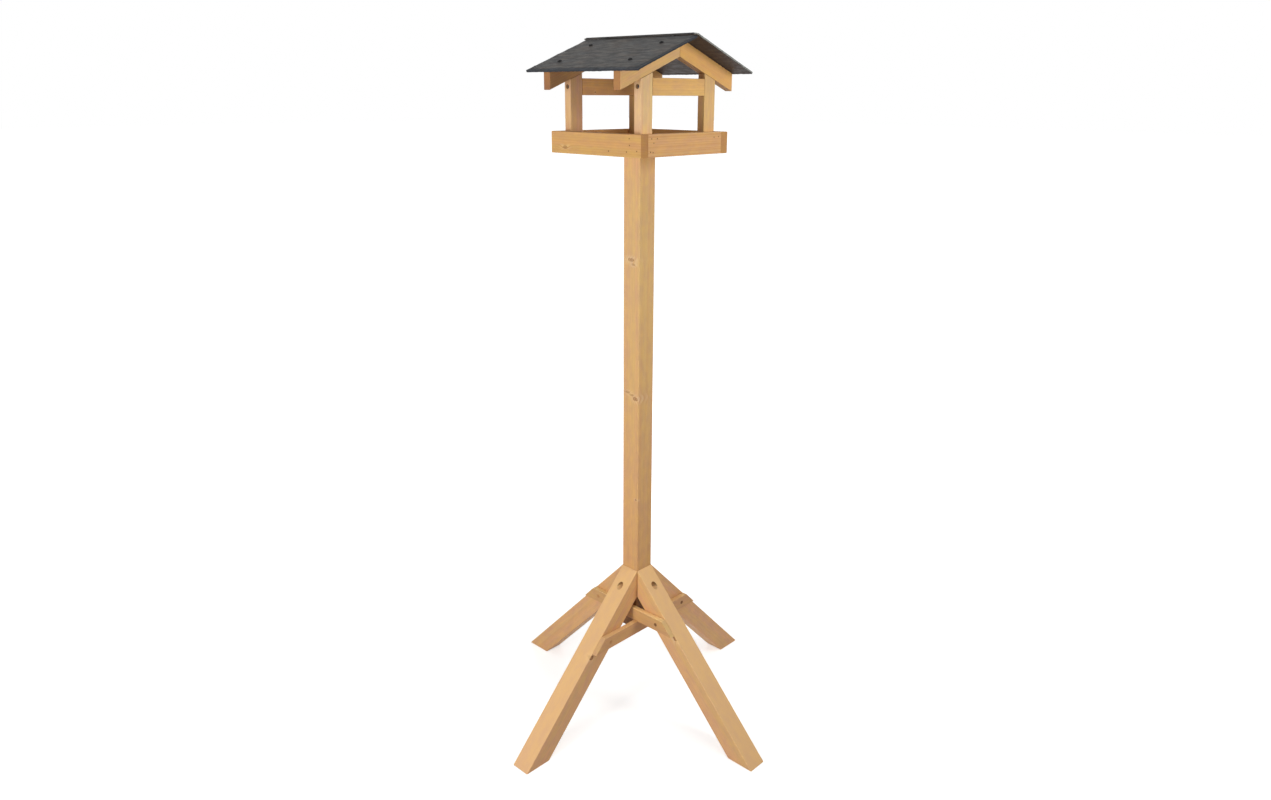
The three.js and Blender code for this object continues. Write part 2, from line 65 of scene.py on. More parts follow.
# %% [markdown]
# ## The camera
#
# The photograph was taken from the left of the front, a little above the tray, with a
# normal lens. A camera can be aimed with a constraint at a target, or its matrix can be
# written from pan, tilt and roll. The matrix is used here, because those three angles and
# the place were worked out from the edges of the post, the legs and the roof, and the
# matrix keeps them exactly. The small upward shift is the photograph's own framing.

# %% Camera
camera_place = Vector((-1.417469, -1.332897, 1.364833))
camera_pan = math.radians(46.591)
camera_tilt = math.radians(-15.93)
camera_roll = math.radians(0.341)

aim = Vector((
    math.sin(camera_pan) * math.cos(camera_tilt),
    math.cos(camera_pan) * math.cos(camera_tilt),
    math.sin(camera_tilt),
))
level = Vector((math.cos(camera_pan), -math.sin(camera_pan), 0))
rise = level.cross(aim)
right = level * math.cos(camera_roll) + rise * math.sin(camera_roll)
up = rise * math.cos(camera_roll) - level * math.sin(camera_roll)

lens = bpy.data.cameras.new("camera")
lens.sensor_width = 36
lens.lens = 26.978
lens.shift_y = -0.02686
camera = bpy.data.objects.new("camera", lens)
turned = Matrix((right, up, -aim)).transposed().to_4x4()
camera.matrix_world = Matrix.Translation(camera_place) @ turned
bpy.context.scene.collection.objects.link(camera)
bpy.context.scene.camera = camera
print("Camera stands", round(camera_place.xy.length, 2), "m from the post")

# %% [markdown]
# ## Wiring helpers
#
# Materials and Geometry Nodes are both made of nodes joined by links. Clicking them
# together in the editor works, but a script that can be read again is wanted here. A desk
# holds the tree that is being wired. One helper adds a node to it, sets its options, and
# feeds each socket with a number or with another node's output. That output comes back as
# a Value. Python's own signs work on a Value and add Math nodes, so a sum reads as a sum.

# %% The desk and its values
class Desk:
    """Holds the node tree that is being wired."""
    tree = None


class Value:
    """A node's output, on which the signs + - * / add a Math node each."""

    def __init__(self, socket):
        self.socket = socket

    def __add__(self, other):
        return calc("ADD", self, other)

    def __radd__(self, other):
        return calc("ADD", other, self)

    def __sub__(self, other):
        return calc("SUBTRACT", self, other)

    def __rsub__(self, other):
        return calc("SUBTRACT", other, self)

    def __mul__(self, other):
        return calc("MULTIPLY", self, other)

    def __truediv__(self, other):
        return calc("DIVIDE", self, other)

    def __neg__(self):
        return calc("MULTIPLY", self, -1.0)


def outputs_of(node):
    """A node's outputs by name, as values."""
    return {socket.name: Value(socket) for socket in node.outputs}


def feed(node, feeds):
    """Feeds a node's sockets, each with a number, a value or a list of values."""
    for key, value in feeds.items():
        if isinstance(value, Value):
            value = [value]
        if isinstance(value, list):
            for each in value:
                Desk.tree.links.new(each.socket, node.inputs[key])
        else:
            node.inputs[key].default_value = value


def wire(kind, feeds=None, out=0, **options):
    """Adds a node to the tree on the desk and returns one of its outputs."""
    node = Desk.tree.nodes.new(kind)
    for name, value in options.items():
        setattr(node, name, value)
    feed(node, feeds or {})
    return Value(node.outputs[out])


print("Signs that add a Math node: + - * /")

# %% Short names for common nodes
def calc(operation, a, b=0.0):
    return wire("ShaderNodeMath", {0: a, 1: b}, operation=operation)


def calc_vector(operation, a, b):
    return wire("ShaderNodeVectorMath", {0: a, 1: b}, operation=operation)


def length_of(vector):
    return wire("ShaderNodeVectorMath", {0: vector}, out="Value", operation="LENGTH")


def parts_of(vector):
    """The three numbers that a vector is made of."""
    return outputs_of(wire("ShaderNodeSeparateXYZ", {0: vector}).socket.node).values()


def vector_of(x=0.0, y=0.0, z=0.0):
    return wire("ShaderNodeCombineXYZ", {0: x, 1: y, 2: z})


def ease(value, low, high, to_low=0.0, to_high=1.0):
    """Goes smoothly from one value to another between two limits."""
    feeds = {"Value": value, "From Min": low, "From Max": high,
             "To Min": to_low, "To Max": to_high}
    return wire("ShaderNodeMapRange", feeds, interpolation_type="SMOOTHSTEP")


def fade(value, low, high):
    """Goes smoothly from 1 to 0 between two limits."""
    return ease(value, low, high, 1.0, 0.0)


def blend(share, a, b):
    return wire("ShaderNodeMix", {"Factor": share, 2: a, 3: b})


def blend_colour(share, a, b):
    return wire("ShaderNodeMix", {"Factor": share, 6: a, 7: b}, out=2, data_type="RGBA")


def spread(place, along, across, depth):
    """Stretches a pattern by its own amount on each axis."""
    return calc_vector("MULTIPLY", place, (along, across, depth))


def cloud(place, size=1.0, detail=2.0, rough=0.5):
    feeds = {"Vector": place, "Scale": size, "Detail": detail, "Roughness": rough}
    return wire("ShaderNodeTexNoise", feeds)


def bump(strength, distance, height):
    feeds = {"Strength": strength, "Distance": distance, "Height": height}
    return wire("ShaderNodeBump", feeds)


def stored(name, out="Fac"):
    """Reads an attribute that is kept on the mesh."""
    return wire("ShaderNodeAttribute", out=out, attribute_name=name)


def colour(red, green, blue):
    """A colour written as on screen, 0 to 255, in the linear numbers that Blender wants."""
    def linear(v):
        v = v / 255
        return v / 12.92 if v <= 0.04045 else ((v + 0.055) / 1.055) ** 2.4
    return (linear(red), linear(green), linear(blue), 1.0)


print("A middle grey in linear numbers:", round(colour(128, 128, 128)[0], 4))

# %% Groups, materials and pieces
def kind_of_socket(start):
    """The kind of socket that a starting value needs."""
    if isinstance(start, tuple):
        return "Vector" if len(start) == 3 else "Color"
    return {bool: "Bool", int: "Int", float: "Float"}[type(start)]


def new_group(name, kind, takes, gives):
    """Puts an empty node group on the desk. Each input has a starting value, or the name of
    its kind where it has none. Returns the group, its inputs as values and its far end."""
    group = bpy.data.node_groups.new(name, kind)
    sockets = group.interface
    for title, start in takes.items():
        bare = isinstance(start, str)
        sort = "NodeSocket" + (start if bare else kind_of_socket(start))
        socket = sockets.new_socket(title, in_out="INPUT", socket_type=sort)
        if not bare:
            socket.default_value = start
    for title, sort in gives.items():
        sockets.new_socket(title, in_out="OUTPUT", socket_type="NodeSocket" + sort)
    Desk.tree = group
    taken = outputs_of(group.nodes.new("NodeGroupInput"))
    return group, taken, group.nodes.new("NodeGroupOutput")


def group_node(group, feeds):
    """Places a node group, feeds it and returns its outputs by name."""
    node = Desk.tree.nodes.new("ShaderNodeGroup")
    node.node_tree = group
    feed(node, feeds)
    return outputs_of(node)


def new_material(name):
    """Puts a new material's tree on the desk, and returns the material and its shader."""
    material = bpy.data.materials.new(name)
    material.use_nodes = True
    Desk.tree = material.node_tree
    return material, material.node_tree.nodes["Principled BSDF"]


def link_piece(name, mesh):
    piece = bpy.data.objects.new(name, mesh)
    bpy.context.scene.collection.objects.link(piece)
    return piece


def bake(piece):
    """Turns a piece's modifiers into plain mesh."""
    graph = bpy.context.evaluated_depsgraph_get()
    plain = bpy.data.meshes.new_from_object(piece.evaluated_get(graph))
    piece.modifiers.clear()
    piece.data = plain
    return plain


print("Helpers are ready")

# %% [markdown]
# ## The studio
#
# The photograph is a product picture: white all round, with light that comes mostly from
# the left and almost level, and a nearer lamp in front that falls off towards the feet.
# One big soft light would fill the inside of the roof, which is brown and dark in the
# photograph. So two fairly narrow lamps do the work, one above and one behind keep the
# other sides readable, and the air is dim. The floor takes the object's shadow. Its
# camera colour lifts to plain white away from the feet, so that no horizon shows, and the
# world is white only to the camera and in reflections.

# %% Floor
floor_half_width = 40.0
floor_drop = 0.0004
glow_at_feet, glow_starts, glow_full = 0.62, 0.3, 1.2


def seen_by_camera():
    """1 where the camera sees a surface straight, in a reflection or through glass."""
    rays = outputs_of(wire("ShaderNodeLightPath").socket.node)
    seen = calc("MAXIMUM", rays["Is Camera Ray"], rays["Is Glossy Ray"])
    return calc("MAXIMUM", seen, rays["Is Transmission Ray"])


corners = [(x * floor_half_width, y * floor_half_width, -floor_drop)
           for x, y in ((-1, -1), (1, -1), (1, 1), (-1, 1))]
floor_mesh = bpy.data.meshes.new("studio_floor")
floor_mesh.from_pydata(corners, [], [(0, 1, 2, 3)])
studio_floor = link_piece("studio_floor", floor_mesh)

floor_paint, shader = new_material("studio_floor_paint")
distance = length_of(wire("ShaderNodeTexCoord", out="Object"))
glow = ease(distance, glow_starts, glow_full, glow_at_feet, 1.0)
feed(shader, {
    "Base Color": (0.8, 0.8, 0.8, 1), "Roughness": 0.9, "Specular IOR Level": 0.0,
    "Emission Color": (1, 1, 1, 1), "Emission Strength": seen_by_camera() * glow})
floor_mesh.materials.append(floor_paint)
print("Floor is", 2 * floor_half_width, "m wide")

# %% World and lamps
world_level = 0.22
world = bpy.data.worlds.new("studio_air")
bpy.context.scene.world = world
world.use_nodes = True
Desk.tree = world.node_tree
Desk.tree.nodes.clear()
strength = blend(seen_by_camera(), world_level, 1.0)
background = wire("ShaderNodeBackground", {"Color": (1, 1, 1, 1), "Strength": strength})
feed(Desk.tree.nodes.new("ShaderNodeOutputWorld"), {"Surface": background})


def softbox(name, place, target, width, height, watts):
    """A wide lamp that faces a point, as a photographer's softbox does."""
    lamp = bpy.data.lights.new(name, "AREA")
    lamp.shape = "RECTANGLE"
    lamp.size = width
    lamp.size_y = height
    lamp.energy = watts
    holder = link_piece(name, lamp)
    holder.location = place
    way = (Vector(target) - Vector(place)).normalized()
    holder.rotation_euler = way.to_track_quat("-Z", "Y").to_euler()
    holder.visible_camera = False
    holder.visible_glossy = False


softbox("lamp_left", (-2.6, -0.12, 0.95), (0, -0.05, 0.85), 0.6, 1.3, 36.5)
softbox("lamp_front", (0.35, -1.35, 1.42), (0, 0, 1.0), 0.35, 0.6, 8.6)
softbox("lamp_above", (-0.3, -0.9, 3.3), (0, 0, 0.8), 1.4, 1.4, 15)
softbox("lamp_behind", (1.9, 1.9, 1.5), (0, 0, 0.9), 1.2, 1.2, 16)
bpy.context.scene.view_settings.view_transform = "Standard"
print("Studio is lit by four lamps and the air")

# %% [markdown]
# ## Pine, as a solid pattern
#
# Real boards are cut out of a log, so rings run through them in three dimensions: they
# show as lines along the faces and as arcs on the ends. A flat wood picture laid on each
# face can't join up round a corner. Instead each timber gets an attribute that says where
# in an imaginary log each of its points lies: along the trunk, and across and deep from
# the heart. The group below turns that place into rings, broad bands of tone, blotches
# where the stain took unevenly, and fine fibres. It has its own inputs for ring width and
# waviness, so every material can share it.

# %% Pine grain group
trunk_taper = 0.006
ring_unevenness = 1.6

pine_grain, ends, made = new_group("pine_grain", "ShaderNodeTree", {
    "Place": "Vector", "Ring width": 0.0036, "Wander": 0.006, "Bend": 0.0,
}, {"Late wood": "Float", "Bands": "Float", "Blotch": "Float", "Fibres": "Float",
    "Height": "Float"})
place = ends["Place"]
along, across, deep = parts_of(place)
slow = cloud(spread(place, 3.0, 22, 22), detail=1.5) - 0.5
radius = length_of(vector_of(0.0, across, deep)) + slow * ends["Wander"]
radius = radius + along * trunk_taper + ends["Bend"]
rings = radius / ends["Ring width"]
uneven = wire("ShaderNodeTexNoise", {"W": rings, "Scale": 0.45, "Detail": 1.0},
              noise_dimensions="1D")
part = calc("FRACT", rings + uneven * ring_unevenness)
strong = cloud(spread(place, 1.4, 30, 30), detail=1.0)
late = ease(part, 0.3, 0.93) * fade(part, 0.93, 1.0) * ease(strong, 0.3, 0.7, 0.45, 1.0)
bands = cloud(spread(place, 1.3, 62, 62), detail=1.5)
blotch = cloud(spread(place, 34, 75, 75), detail=3.0, rough=0.6)
fibres = cloud(spread(place, 28, 1300, 1300), detail=2.0, rough=0.6)
feed(made, {
    "Late wood": late, "Bands": ease(bands, 0.32, 0.68), "Blotch": ease(blotch, 0.3, 0.7),
    "Fibres": ease(fibres, 0.25, 0.75), "Height": fibres * 0.6 - late * 0.12})
print("pine_grain has", len(pine_grain.nodes), "nodes")

# %% [markdown]
# ## Knots
#
# A knot is the foot of a branch. The trunk's rings flow round it, its own rings are tight,
# and its core is dark, some darker than others. The group measures how far a point is from
# the knot's middle. It gives a mask for the core, one for the halo, and an amount that
# pushes the trunk's rings aside, which goes into the Bend input of the grain.

# %% Knot group
knot, ends, made = new_group("knot", "ShaderNodeTree", {
    "Place": "Vector", "Middle": (0, 0, 0), "Spread": (1, 1, 1), "Size": 0.005,
}, {"Core": "Float", "Halo": "Float", "Bend": "Float"})
away = calc_vector("SUBTRACT", ends["Place"], ends["Middle"])
reach = length_of(calc_vector("DIVIDE", away, ends["Spread"])) / ends["Size"]
ragged = cloud(ends["Place"], size=420.0, detail=1.0) - 0.5
rough_reach = reach + ragged * 0.7
own_rings = 0.78 + calc("SINE", reach * 9.0) * 0.22
push = calc("EXPONENT", calc("POWER", reach, 2.0) * -0.22)
feed(made, {
    "Core": fade(rough_reach, 0.75, 1.15) * own_rings,
    "Halo": fade(rough_reach, 0.8, 3.4), "Bend": push * ends["Size"] * 1.8})
print("knot has", len(knot.nodes), "nodes")

# %% [markdown]
# ## Worn edges and a painted highlight
#
# Planed timber has its long edges eased, and stain is thinner there. The paler arris also
# stands in for the highlight that a rounded edge catches, so it is partly a painted highlight.
# Worn edges can be found from the mesh's curvature, but the timbers have few faces. Each
# carries an attribute for its section instead, from -1 to 1 across and deep, and the group
# finds where both come near 1: the arris. A little noise breaks the line up.

# %% Worn edge and painted highlight group
worn_edge_and_highlight, ends, made = new_group("worn_edge_and_highlight", "ShaderNodeTree", {
    "Section": "Vector", "Place": "Vector", "Width": 0.08}, {"Wear and highlight": "Float"})
across, deep, _ = parts_of(ends["Section"])
nearest = calc("MINIMUM", calc("ABSOLUTE", across), calc("ABSOLUTE", deep))
patchy = ease(cloud(spread(ends["Place"], 40, 160, 160)), 0.3, 0.7, 0.35, 1.0)
feed(made, {"Wear and highlight": ease(nearest, 1.0 - ends["Width"], 1.0) * patchy})
print("worn_edge_and_highlight has", len(worn_edge_and_highlight.nodes), "nodes")

# %% [markdown]
# ## Stained pine
#
# The stain is honey-coloured and thin, so the grain shows through: pale early wood, a
# darker line of late wood, and broad bands that lean to yellow or to pink. Ends drink more
# stain and are browner. A group mixes these colours, since all the timbers share them, and
# each material adds its own knots and values. More attributes come from the piece:
# "end" says how much of the grain is cut across; "bleach" gives the upper faces of the legs
# and ties a paler colour, which is painted top light; "pooled" is painted shade on the walls
# of holes and on the faces that the roof shelters; and "stain" holds how much red, green and
# blue the piece gives back: partly each board's own tone, as no two boards take stain alike,
# and partly painted light and shade, such as a darker foot.

# %% Stained pine group
early_wood = colour(228, 188, 130)
late_wood = colour(210, 152, 88)
yellow_band = colour(220, 180, 112)
pink_band = colour(226, 172, 122)
# The paler colour of upward faces is painted top light
painted_top_lit_wood = colour(248, 203, 142)
end_wood = colour(170, 120, 76)
knot_wood = colour(124, 70, 32)
pale_wood = colour(240, 208, 158)
# Painted shade: the dark colour that holes, faces under the roof and the post's foot turn towards
painted_shade_colour = colour(106, 60, 18)
yellow_blotch, pink_blotch, no_blotch = (1.05, 1.05, 0.94, 1), (0.96, 0.93, 1.01, 1), (1, 1, 1, 1)

stained_pine, ends, made = new_group("stained_pine", "ShaderNodeTree", {
    "Late wood": 0.0, "Bands": 0.5, "Blotch": 0.5, "Fibres": 0.5, "Core": 0.0, "Halo": 0.0,
    "Wear and highlight": 0.0, "End": 0.0, "Painted top light": 0.0, "Painted shade": 0.0, "Stain left": 0.6,
    "Painted top lit wood": painted_top_lit_wood, "Stain and shade": (1, 1, 1), "Contrast": 0.5,
}, {"Color": "Color", "Roughness": "Float"})
band_tint = blend_colour(ends["Bands"], yellow_band, pink_band)
wood = blend_colour(0.5, early_wood, band_tint)
round_knot = ends["Halo"] * (1.0 - ends["Core"])
ring_contrast = ends["Contrast"] + ends["Halo"] * 0.7
# The paler arris is thinner stain together with a painted highlight
for share, tint in (
        (round_knot * 0.6, pale_wood), (ends["Late wood"] * ring_contrast, late_wood),
        (ends["Core"], knot_wood), (ends["End"] * 0.6, end_wood),
        (ends["Wear and highlight"] * 0.3, early_wood)):
    wood = blend_colour(share, wood, tint)
light = 1.0 + (ends["Fibres"] - 0.5) * 0.12
wood = wire("ShaderNodeVectorMath", {0: wood, "Scale": light}, operation="SCALE")
# The piece's stain, which also carries painted light and shade
wood = calc_vector("MULTIPLY", wood, ends["Stain and shade"])
thin_stain = wire("ShaderNodeMix", {"Factor": ends["Stain left"], 4: (1, 1, 1), 5: ends["Stain and shade"]},
                  out=1, data_type="VECTOR")
# Upward faces turn towards the paler colour: painted top light
painted_top_lit = calc_vector("MULTIPLY", ends["Painted top lit wood"], thin_stain)
wood = blend_colour(ends["Painted top light"], wood, painted_top_lit)
uneven = blend_colour(ends["Blotch"], yellow_blotch, pink_blotch)
uneven = blend_colour(ends["Painted top light"] * 0.5, uneven, no_blotch)
wood = calc_vector("MULTIPLY", wood, uneven)
feed(made, {
    # Painted shade darkens holes, sheltered faces and the post's foot
    "Color": blend_colour(ends["Painted shade"], wood, painted_shade_colour),
    "Roughness": 0.52 + (ends["Fibres"] + ends["End"]) * 0.12})
print("stained_pine has", len(stained_pine.nodes), "nodes")

# %% Pine materials
wood_shine = 0.3
# How dark the post's foot is painted, as shade in the pocket between the legs
painted_foot_shade = 0.75


def pine_material(name, ring_width, wander, contrast, knots=(), painted_shade_below=None,
                  stain_left=0.6, painted_top_lit=painted_top_lit_wood):
    """Pine with its own ring width, waviness, contrast and knots, and painted shade at its foot if
    asked.
    An upward face gets painted top light: a paler colour that keeps a share of its stain."""
    material, shader = new_material(name)
    place = stored("grain", "Vector")
    painted_shade = stored("painted_shade")
    own = wire("ShaderNodeTexCoord", out="Object")
    # Painted shade on the post's foot, which stands in the dark pocket between the legs
    if painted_shade_below:
        height = wire("ShaderNodeSeparateXYZ", {0: own}, out="Z")
        painted_shade = calc("MAXIMUM", painted_shade, ease(height, *painted_shade_below, painted_foot_shade, 0.0))
    core = halo = bend = 0.0
    for middle, spread_of, size, dark in knots:
        found = group_node(knot, {
            "Place": own, "Middle": middle, "Spread": spread_of, "Size": size})
        core = calc("MAXIMUM", core, found["Core"] * dark)
        halo = calc("MAXIMUM", halo, found["Halo"])
        bend = bend + found["Bend"]
    grain = group_node(pine_grain, {
        "Place": place, "Ring width": ring_width, "Wander": wander, "Bend": bend})
    wear_and_highlight = group_node(worn_edge_and_highlight, {"Section": stored("section", "Vector"), "Place": place})
    finish = group_node(stained_pine, {
        **{title: grain[title] for title in ("Late wood", "Bands", "Blotch", "Fibres")},
        "Core": core, "Halo": halo, "Wear and highlight": wear_and_highlight["Wear and highlight"], "End": stored("end"),
        "Painted top light": stored("painted_top_light"), "Stain left": stain_left, "Painted top lit wood": painted_top_lit,
        "Painted shade": painted_shade, "Stain and shade": stored("stain", "Vector"), "Contrast": contrast})
    feed(shader, {
        "Base Color": finish["Color"], "Roughness": finish["Roughness"],
        "Specular IOR Level": wood_shine, "Normal": bump(0.25, 0.0004, grain["Height"])})
    return material


post_knots = [
    ((-0.0225, 0.0010, 1.0390), (3.0, 1.9, 0.8), 0.0046, 0.55),
    ((-0.0225, -0.0060, 1.0300), (3.0, 1.4, 0.7), 0.0036, 0.4),
    ((-0.0225, -0.0135, 0.7435), (3.0, 1.5, 0.9), 0.0048, 0.65),
    ((-0.0225, 0.0100, 0.7540), (3.0, 1.8, 0.6), 0.0044, 0.45),
    ((-0.0225, -0.0030, 0.7500), (3.0, 2.2, 0.6), 0.0034, 0.4),
    ((-0.0225, -0.0170, 0.5130), (3.0, 1.4, 0.8), 0.0022, 0.6),
    ((0.0225, 0.0060, 0.8900), (3.0, 1.0, 1.0), 0.0050, 0.7),
    ((0.0040, 0.0225, 1.1200), (1.0, 3.0, 1.0), 0.0042, 0.7),
]
tray_side_knots = [
    ((-0.1260, 0.0820, 1.2640), (3.0, 1.7, 0.8), 0.0040, 0.6),
    ((0.1260, 0.0310, 1.2760), (3.0, 1.0, 0.8), 0.0040, 0.7),
]
frame_knots = [
    ((-0.0400, 0.0850, 1.3680), (1.0, 3.0, 1.0), 0.0014, 0.8),
    ((0.0500, 0.1022, 1.3750), (1.0, 3.0, 1.0), 0.0018, 0.8),
]
leg_knots_and_tie_tip_shadows = [
    ((0.0200, 0.2500, 0.1090), (1.0, 1.0, 1.0), 0.0040, 0.6),
    ((0.2100, -0.0100, 0.1430), (1.0, 1.0, 1.0), 0.0050, 0.6),
    # The last two are not knots: they are painted shadow in the small dark pocket under each tie's
    # tip
    ((-0.1660, -0.0300, 0.1898), (1.0, 4.0, 1.0), 0.0056, 1.0),
    ((-0.0300, -0.1368, 0.2232), (4.0, 1.0, 1.0), 0.0064, 1.0),
]
pine_of_frame = pine_material("pine_of_frame", 0.0045, 0.004, 0.28, frame_knots)
pine_for = {
    # The post's foot gets painted shade below the legs' shoulders
    "post": pine_material("pine_of_post", 0.0060, 0.006, 0.26, post_knots,
                          painted_shade_below=(0.28, 0.32)),
    "leg": pine_material("pine_of_legs", 0.0055, 0.005, 0.24, leg_knots_and_tie_tip_shadows),
    "tie": pine_material("pine_of_ties", 0.0055, 0.005, 0.24, stain_left=0.1,
                         painted_top_lit=colour(252, 214, 150)),
    "tray_side": pine_material("pine_of_tray_sides", 0.0050, 0.003, 0.36, tray_side_knots),
    "tray": pine_material("pine_of_tray_ends", 0.0048, 0.003, 0.7),
    "upright": pine_of_frame, "crossbar": pine_of_frame, "rafter": pine_of_frame,
}
print("Six pine materials share four groups")

# %% [markdown]
# ## The timbers
#
# Every timber is already right in size, so each is a copy of its CAD node with the saw's
# sharpness taken off. A Bevel modifier could round every edge, but it would also eat into
# the drilled holes, whose rims are crisp on the real thing. So the copy's loose triangles
# are merged, and only edges between two outer faces are rounded: a face that meets
# another in a hollow corner belongs to a hole. The grain runs along a piece's longest
# edge. Nail dimples are punched into the tray's boards first, where the photograph shows
# them, and the hidden boards get the same pattern turned half round.

# %% Where the nails are
nail_head_radius = 0.0012
nail_hole_radius = 0.0015
nail_hole_depth = 0.0012
nail_sink = 0.0005
nail_length, nail_shank_radius, nail_head_thickness = 0.028, 0.0009, 0.0006

# Millimetres along the board and above the ground
left_nails = [(-92, 1286), (-92.6, 1274), (-85, 1262), (-111, 1264), (-38, 1261.5)]
front_nails = [(-97, 1286), (-91, 1278), (-81.5, 1286), (-100, 1262), (-93, 1261), (84, 1284),
               (98, 1285)]
half_width, half_length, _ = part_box("tray_side_right")[1]

nails = {"tray_side_left": [], "tray_side_right": [], "tray_end_front": [], "tray_end_back": []}
jitter = random.Random(4)
for y, z in left_nails:
    nails["tray_side_left"].append((Vector((-half_width, y / 1000, z / 1000)), Vector((-1, 0, 0))))
    y, z = -y + jitter.uniform(-3, 3), z + jitter.uniform(-2, 2)
    nails["tray_side_right"].append((Vector((half_width, y / 1000, z / 1000)), Vector((1, 0, 0))))
for x, z in front_nails:
    nails["tray_end_front"].append((Vector((x / 1000, -half_length, z / 1000)), Vector((0, -1, 0))))
    x, z = -x + jitter.uniform(-2, 2), z + jitter.uniform(-2, 2)
    nails["tray_end_back"].append((Vector((x / 1000, half_length, z / 1000)), Vector((0, 1, 0))))
print("Nails:", sum(len(places) for places in nails.values()))

# %% Punching and softening
weld_distance = 2e-6
flat_angle = math.radians(0.6)
hollow_angle = math.radians(-5)
corner_angle = math.radians(40)
smooth_up_to = math.radians(50)


def merged_copy(node):
    """The node's triangles joined into flat faces, as a bmesh."""
    shape = bmesh.new()
    shape.from_mesh(nodes[node].data)
    bmesh.ops.remove_doubles(shape, verts=shape.verts, dist=weld_distance)
    bmesh.ops.dissolve_limit(shape, angle_limit=flat_angle, verts=shape.verts,
                             edges=shape.edges)
    bmesh.ops.recalc_face_normals(shape, faces=shape.faces)
    return shape


def is_of_hole(face):
    """Whether a face meets another in a hollow corner."""
    return any(e.is_manifold and e.calc_face_angle_signed() < hollow_angle for e in face.edges)


def soften(shape, width):
    """Rounds the outer sharp edges and leaves the rims of holes alone."""
    shape.normal_update()
    of_hole = {f for f in shape.faces if is_of_hole(f)}
    sharp = [e for e in shape.edges if e.is_manifold and e.calc_face_angle() > corner_angle
             and not any(f in of_hole for f in e.link_faces)]
    bmesh.ops.bevel(shape, geom=sharp, offset=width, segments=2, profile=0.5, affect="EDGES",
                    clamp_overlap=False)


def punch(piece, places):
    """Cuts a shallow round dimple at each nail, a little narrower at its bottom."""
    tool = bmesh.new()
    for place, way in places:
        at = Matrix.Translation(place) @ way.to_track_quat("Z", "Y").to_matrix().to_4x4()
        bmesh.ops.create_cone(tool, cap_ends=True, segments=14, radius1=nail_hole_radius * 0.8,
                              radius2=nail_hole_radius, depth=2 * nail_hole_depth, matrix=at)
    mesh = bpy.data.meshes.new("punch")
    tool.to_mesh(mesh)
    tool.free()
    punches = link_piece("punch", mesh)
    cut = piece.modifiers.new("punch", "BOOLEAN")
    cut.object = punches
    cut.operation = "DIFFERENCE"
    cut.solver = "EXACT"
    bake(piece)
    bpy.data.objects.remove(punches)


def even_shading(piece):
    """Lets the big flat faces rule the shading, or the rounded edges would smear it."""
    piece.data.shade_smooth()
    piece.data.set_sharp_from_angle(angle=smooth_up_to)
    even = piece.modifiers.new("even", "WEIGHTED_NORMAL")
    even.keep_sharp = True
    even.weight = 100
    bake(piece)


print("Hole rims stay sharp, outer edges are rounded")

# %% [markdown]
# The next cells give each timber its attributes. "grain" is the place in the log, and each
# piece is cut from its own part of the log, so that neighbours never match. The numbers
# come from a random generator that is seeded with the piece's place in the list. The
# tables are read by a timber's own name, or else by its kind. A stain is red, green and
# blue, or two of them where a piece changes from its foot to its head. These stains are
# partly each board's own tone and partly painted light and shade; the change from foot
# to head is painted shade, darker towards the foot.

# %% How each timber is stained, with painted light and shade
softness_of = {"post": 0.0008, "leg": 0.0008, "tie": 0.0004, "tray": 0.0006,
               "upright": 0.0005, "crossbar": 0.0005, "rafter": 0.0005}
# Each board's tone together with painted light and shade; where a pair is given, the darker foot is
# painted shade
stain_and_shade_of = {
    "post": ((0.85, 0.73, 0.68), (1.05, 1.11, 1.22)),
    "leg_left": ((0.91, 0.86, 1.0), (0.96, 0.94, 0.99)),
    "leg_front": ((0.87, 0.83, 0.92), (0.97, 0.95, 1.03)),
    "leg_right": (1.0, 0.95, 1.1), "leg_back": (0.93, 0.88, 0.96),
    "tie_lower": (0.83, 0.75, 0.83), "tie_upper": (0.8, 0.73, 0.76),
    "tray_side_left": (0.94, 0.88, 0.79), "tray_side_right": (0.97, 0.93, 0.86),
    "tray_end_front": (0.94, 0.89, 0.92), "tray_end_back": (1.0, 0.93, 0.86),
    "tray_floor": (0.98, 0.94, 0.9),
    "upright_left_front": (1.17, 1.3, 1.55), "upright_right_front": (1.09, 1.13, 1.22),
    "upright_left_back": (1.1, 1.09, 1.4), "upright_right_back": (0.8, 0.75, 0.66),
    "crossbar_front": (1.11, 1.1, 0.99), "crossbar_back": (1.22, 1.1, 1.1),
    "rafter_left_front": ((1.06, 1.04, 1.1), (1.18, 1.2, 1.3)),
    "rafter_left_back": ((0.78, 0.72, 0.82), (1.26, 1.2, 1.25)),
    "rafter_right_front": (1.16, 1.08, 0.9), "rafter_right_back": (1.0, 0.95, 0.85),
}
end_share_of = {"tie": 0.2, "rafter": 1.5, "rafter_left_back": 1.4, "tray_side_left": 1.05}
# How much painted top light the upward faces of each kind get
painted_top_light_share_of = {"leg": 0.8, "leg_front": 1.0, "tie_upper": 1.0, "tie_lower": 0.5}
# Painted shade on faces under the roof: those facing down or in towards the middle
painted_shelter_shade_of = {"rafter": 0.5, "upright": 0.15, "crossbar": 0.3}
# Painted shade in a hole, first for its roof and sides, then for the wall that light reaches
painted_shade_in_holes_of = {"leg": (0.5, 0.0), "tie": (0.3, 0.3), "upright": (0.6, 0.6),
                    "tray": (0.35, 0.35)}


def listed(table, name, otherwise=0.0):
    """A timber's own entry in a table, or its kind's, or the usual value."""
    return table.get(name, table.get(name.split("_")[0], otherwise))


def clamped(v):
    return min(1.0, max(0.0, v))


print("Stains are listed for", len(stain_and_shade_of), "timbers")

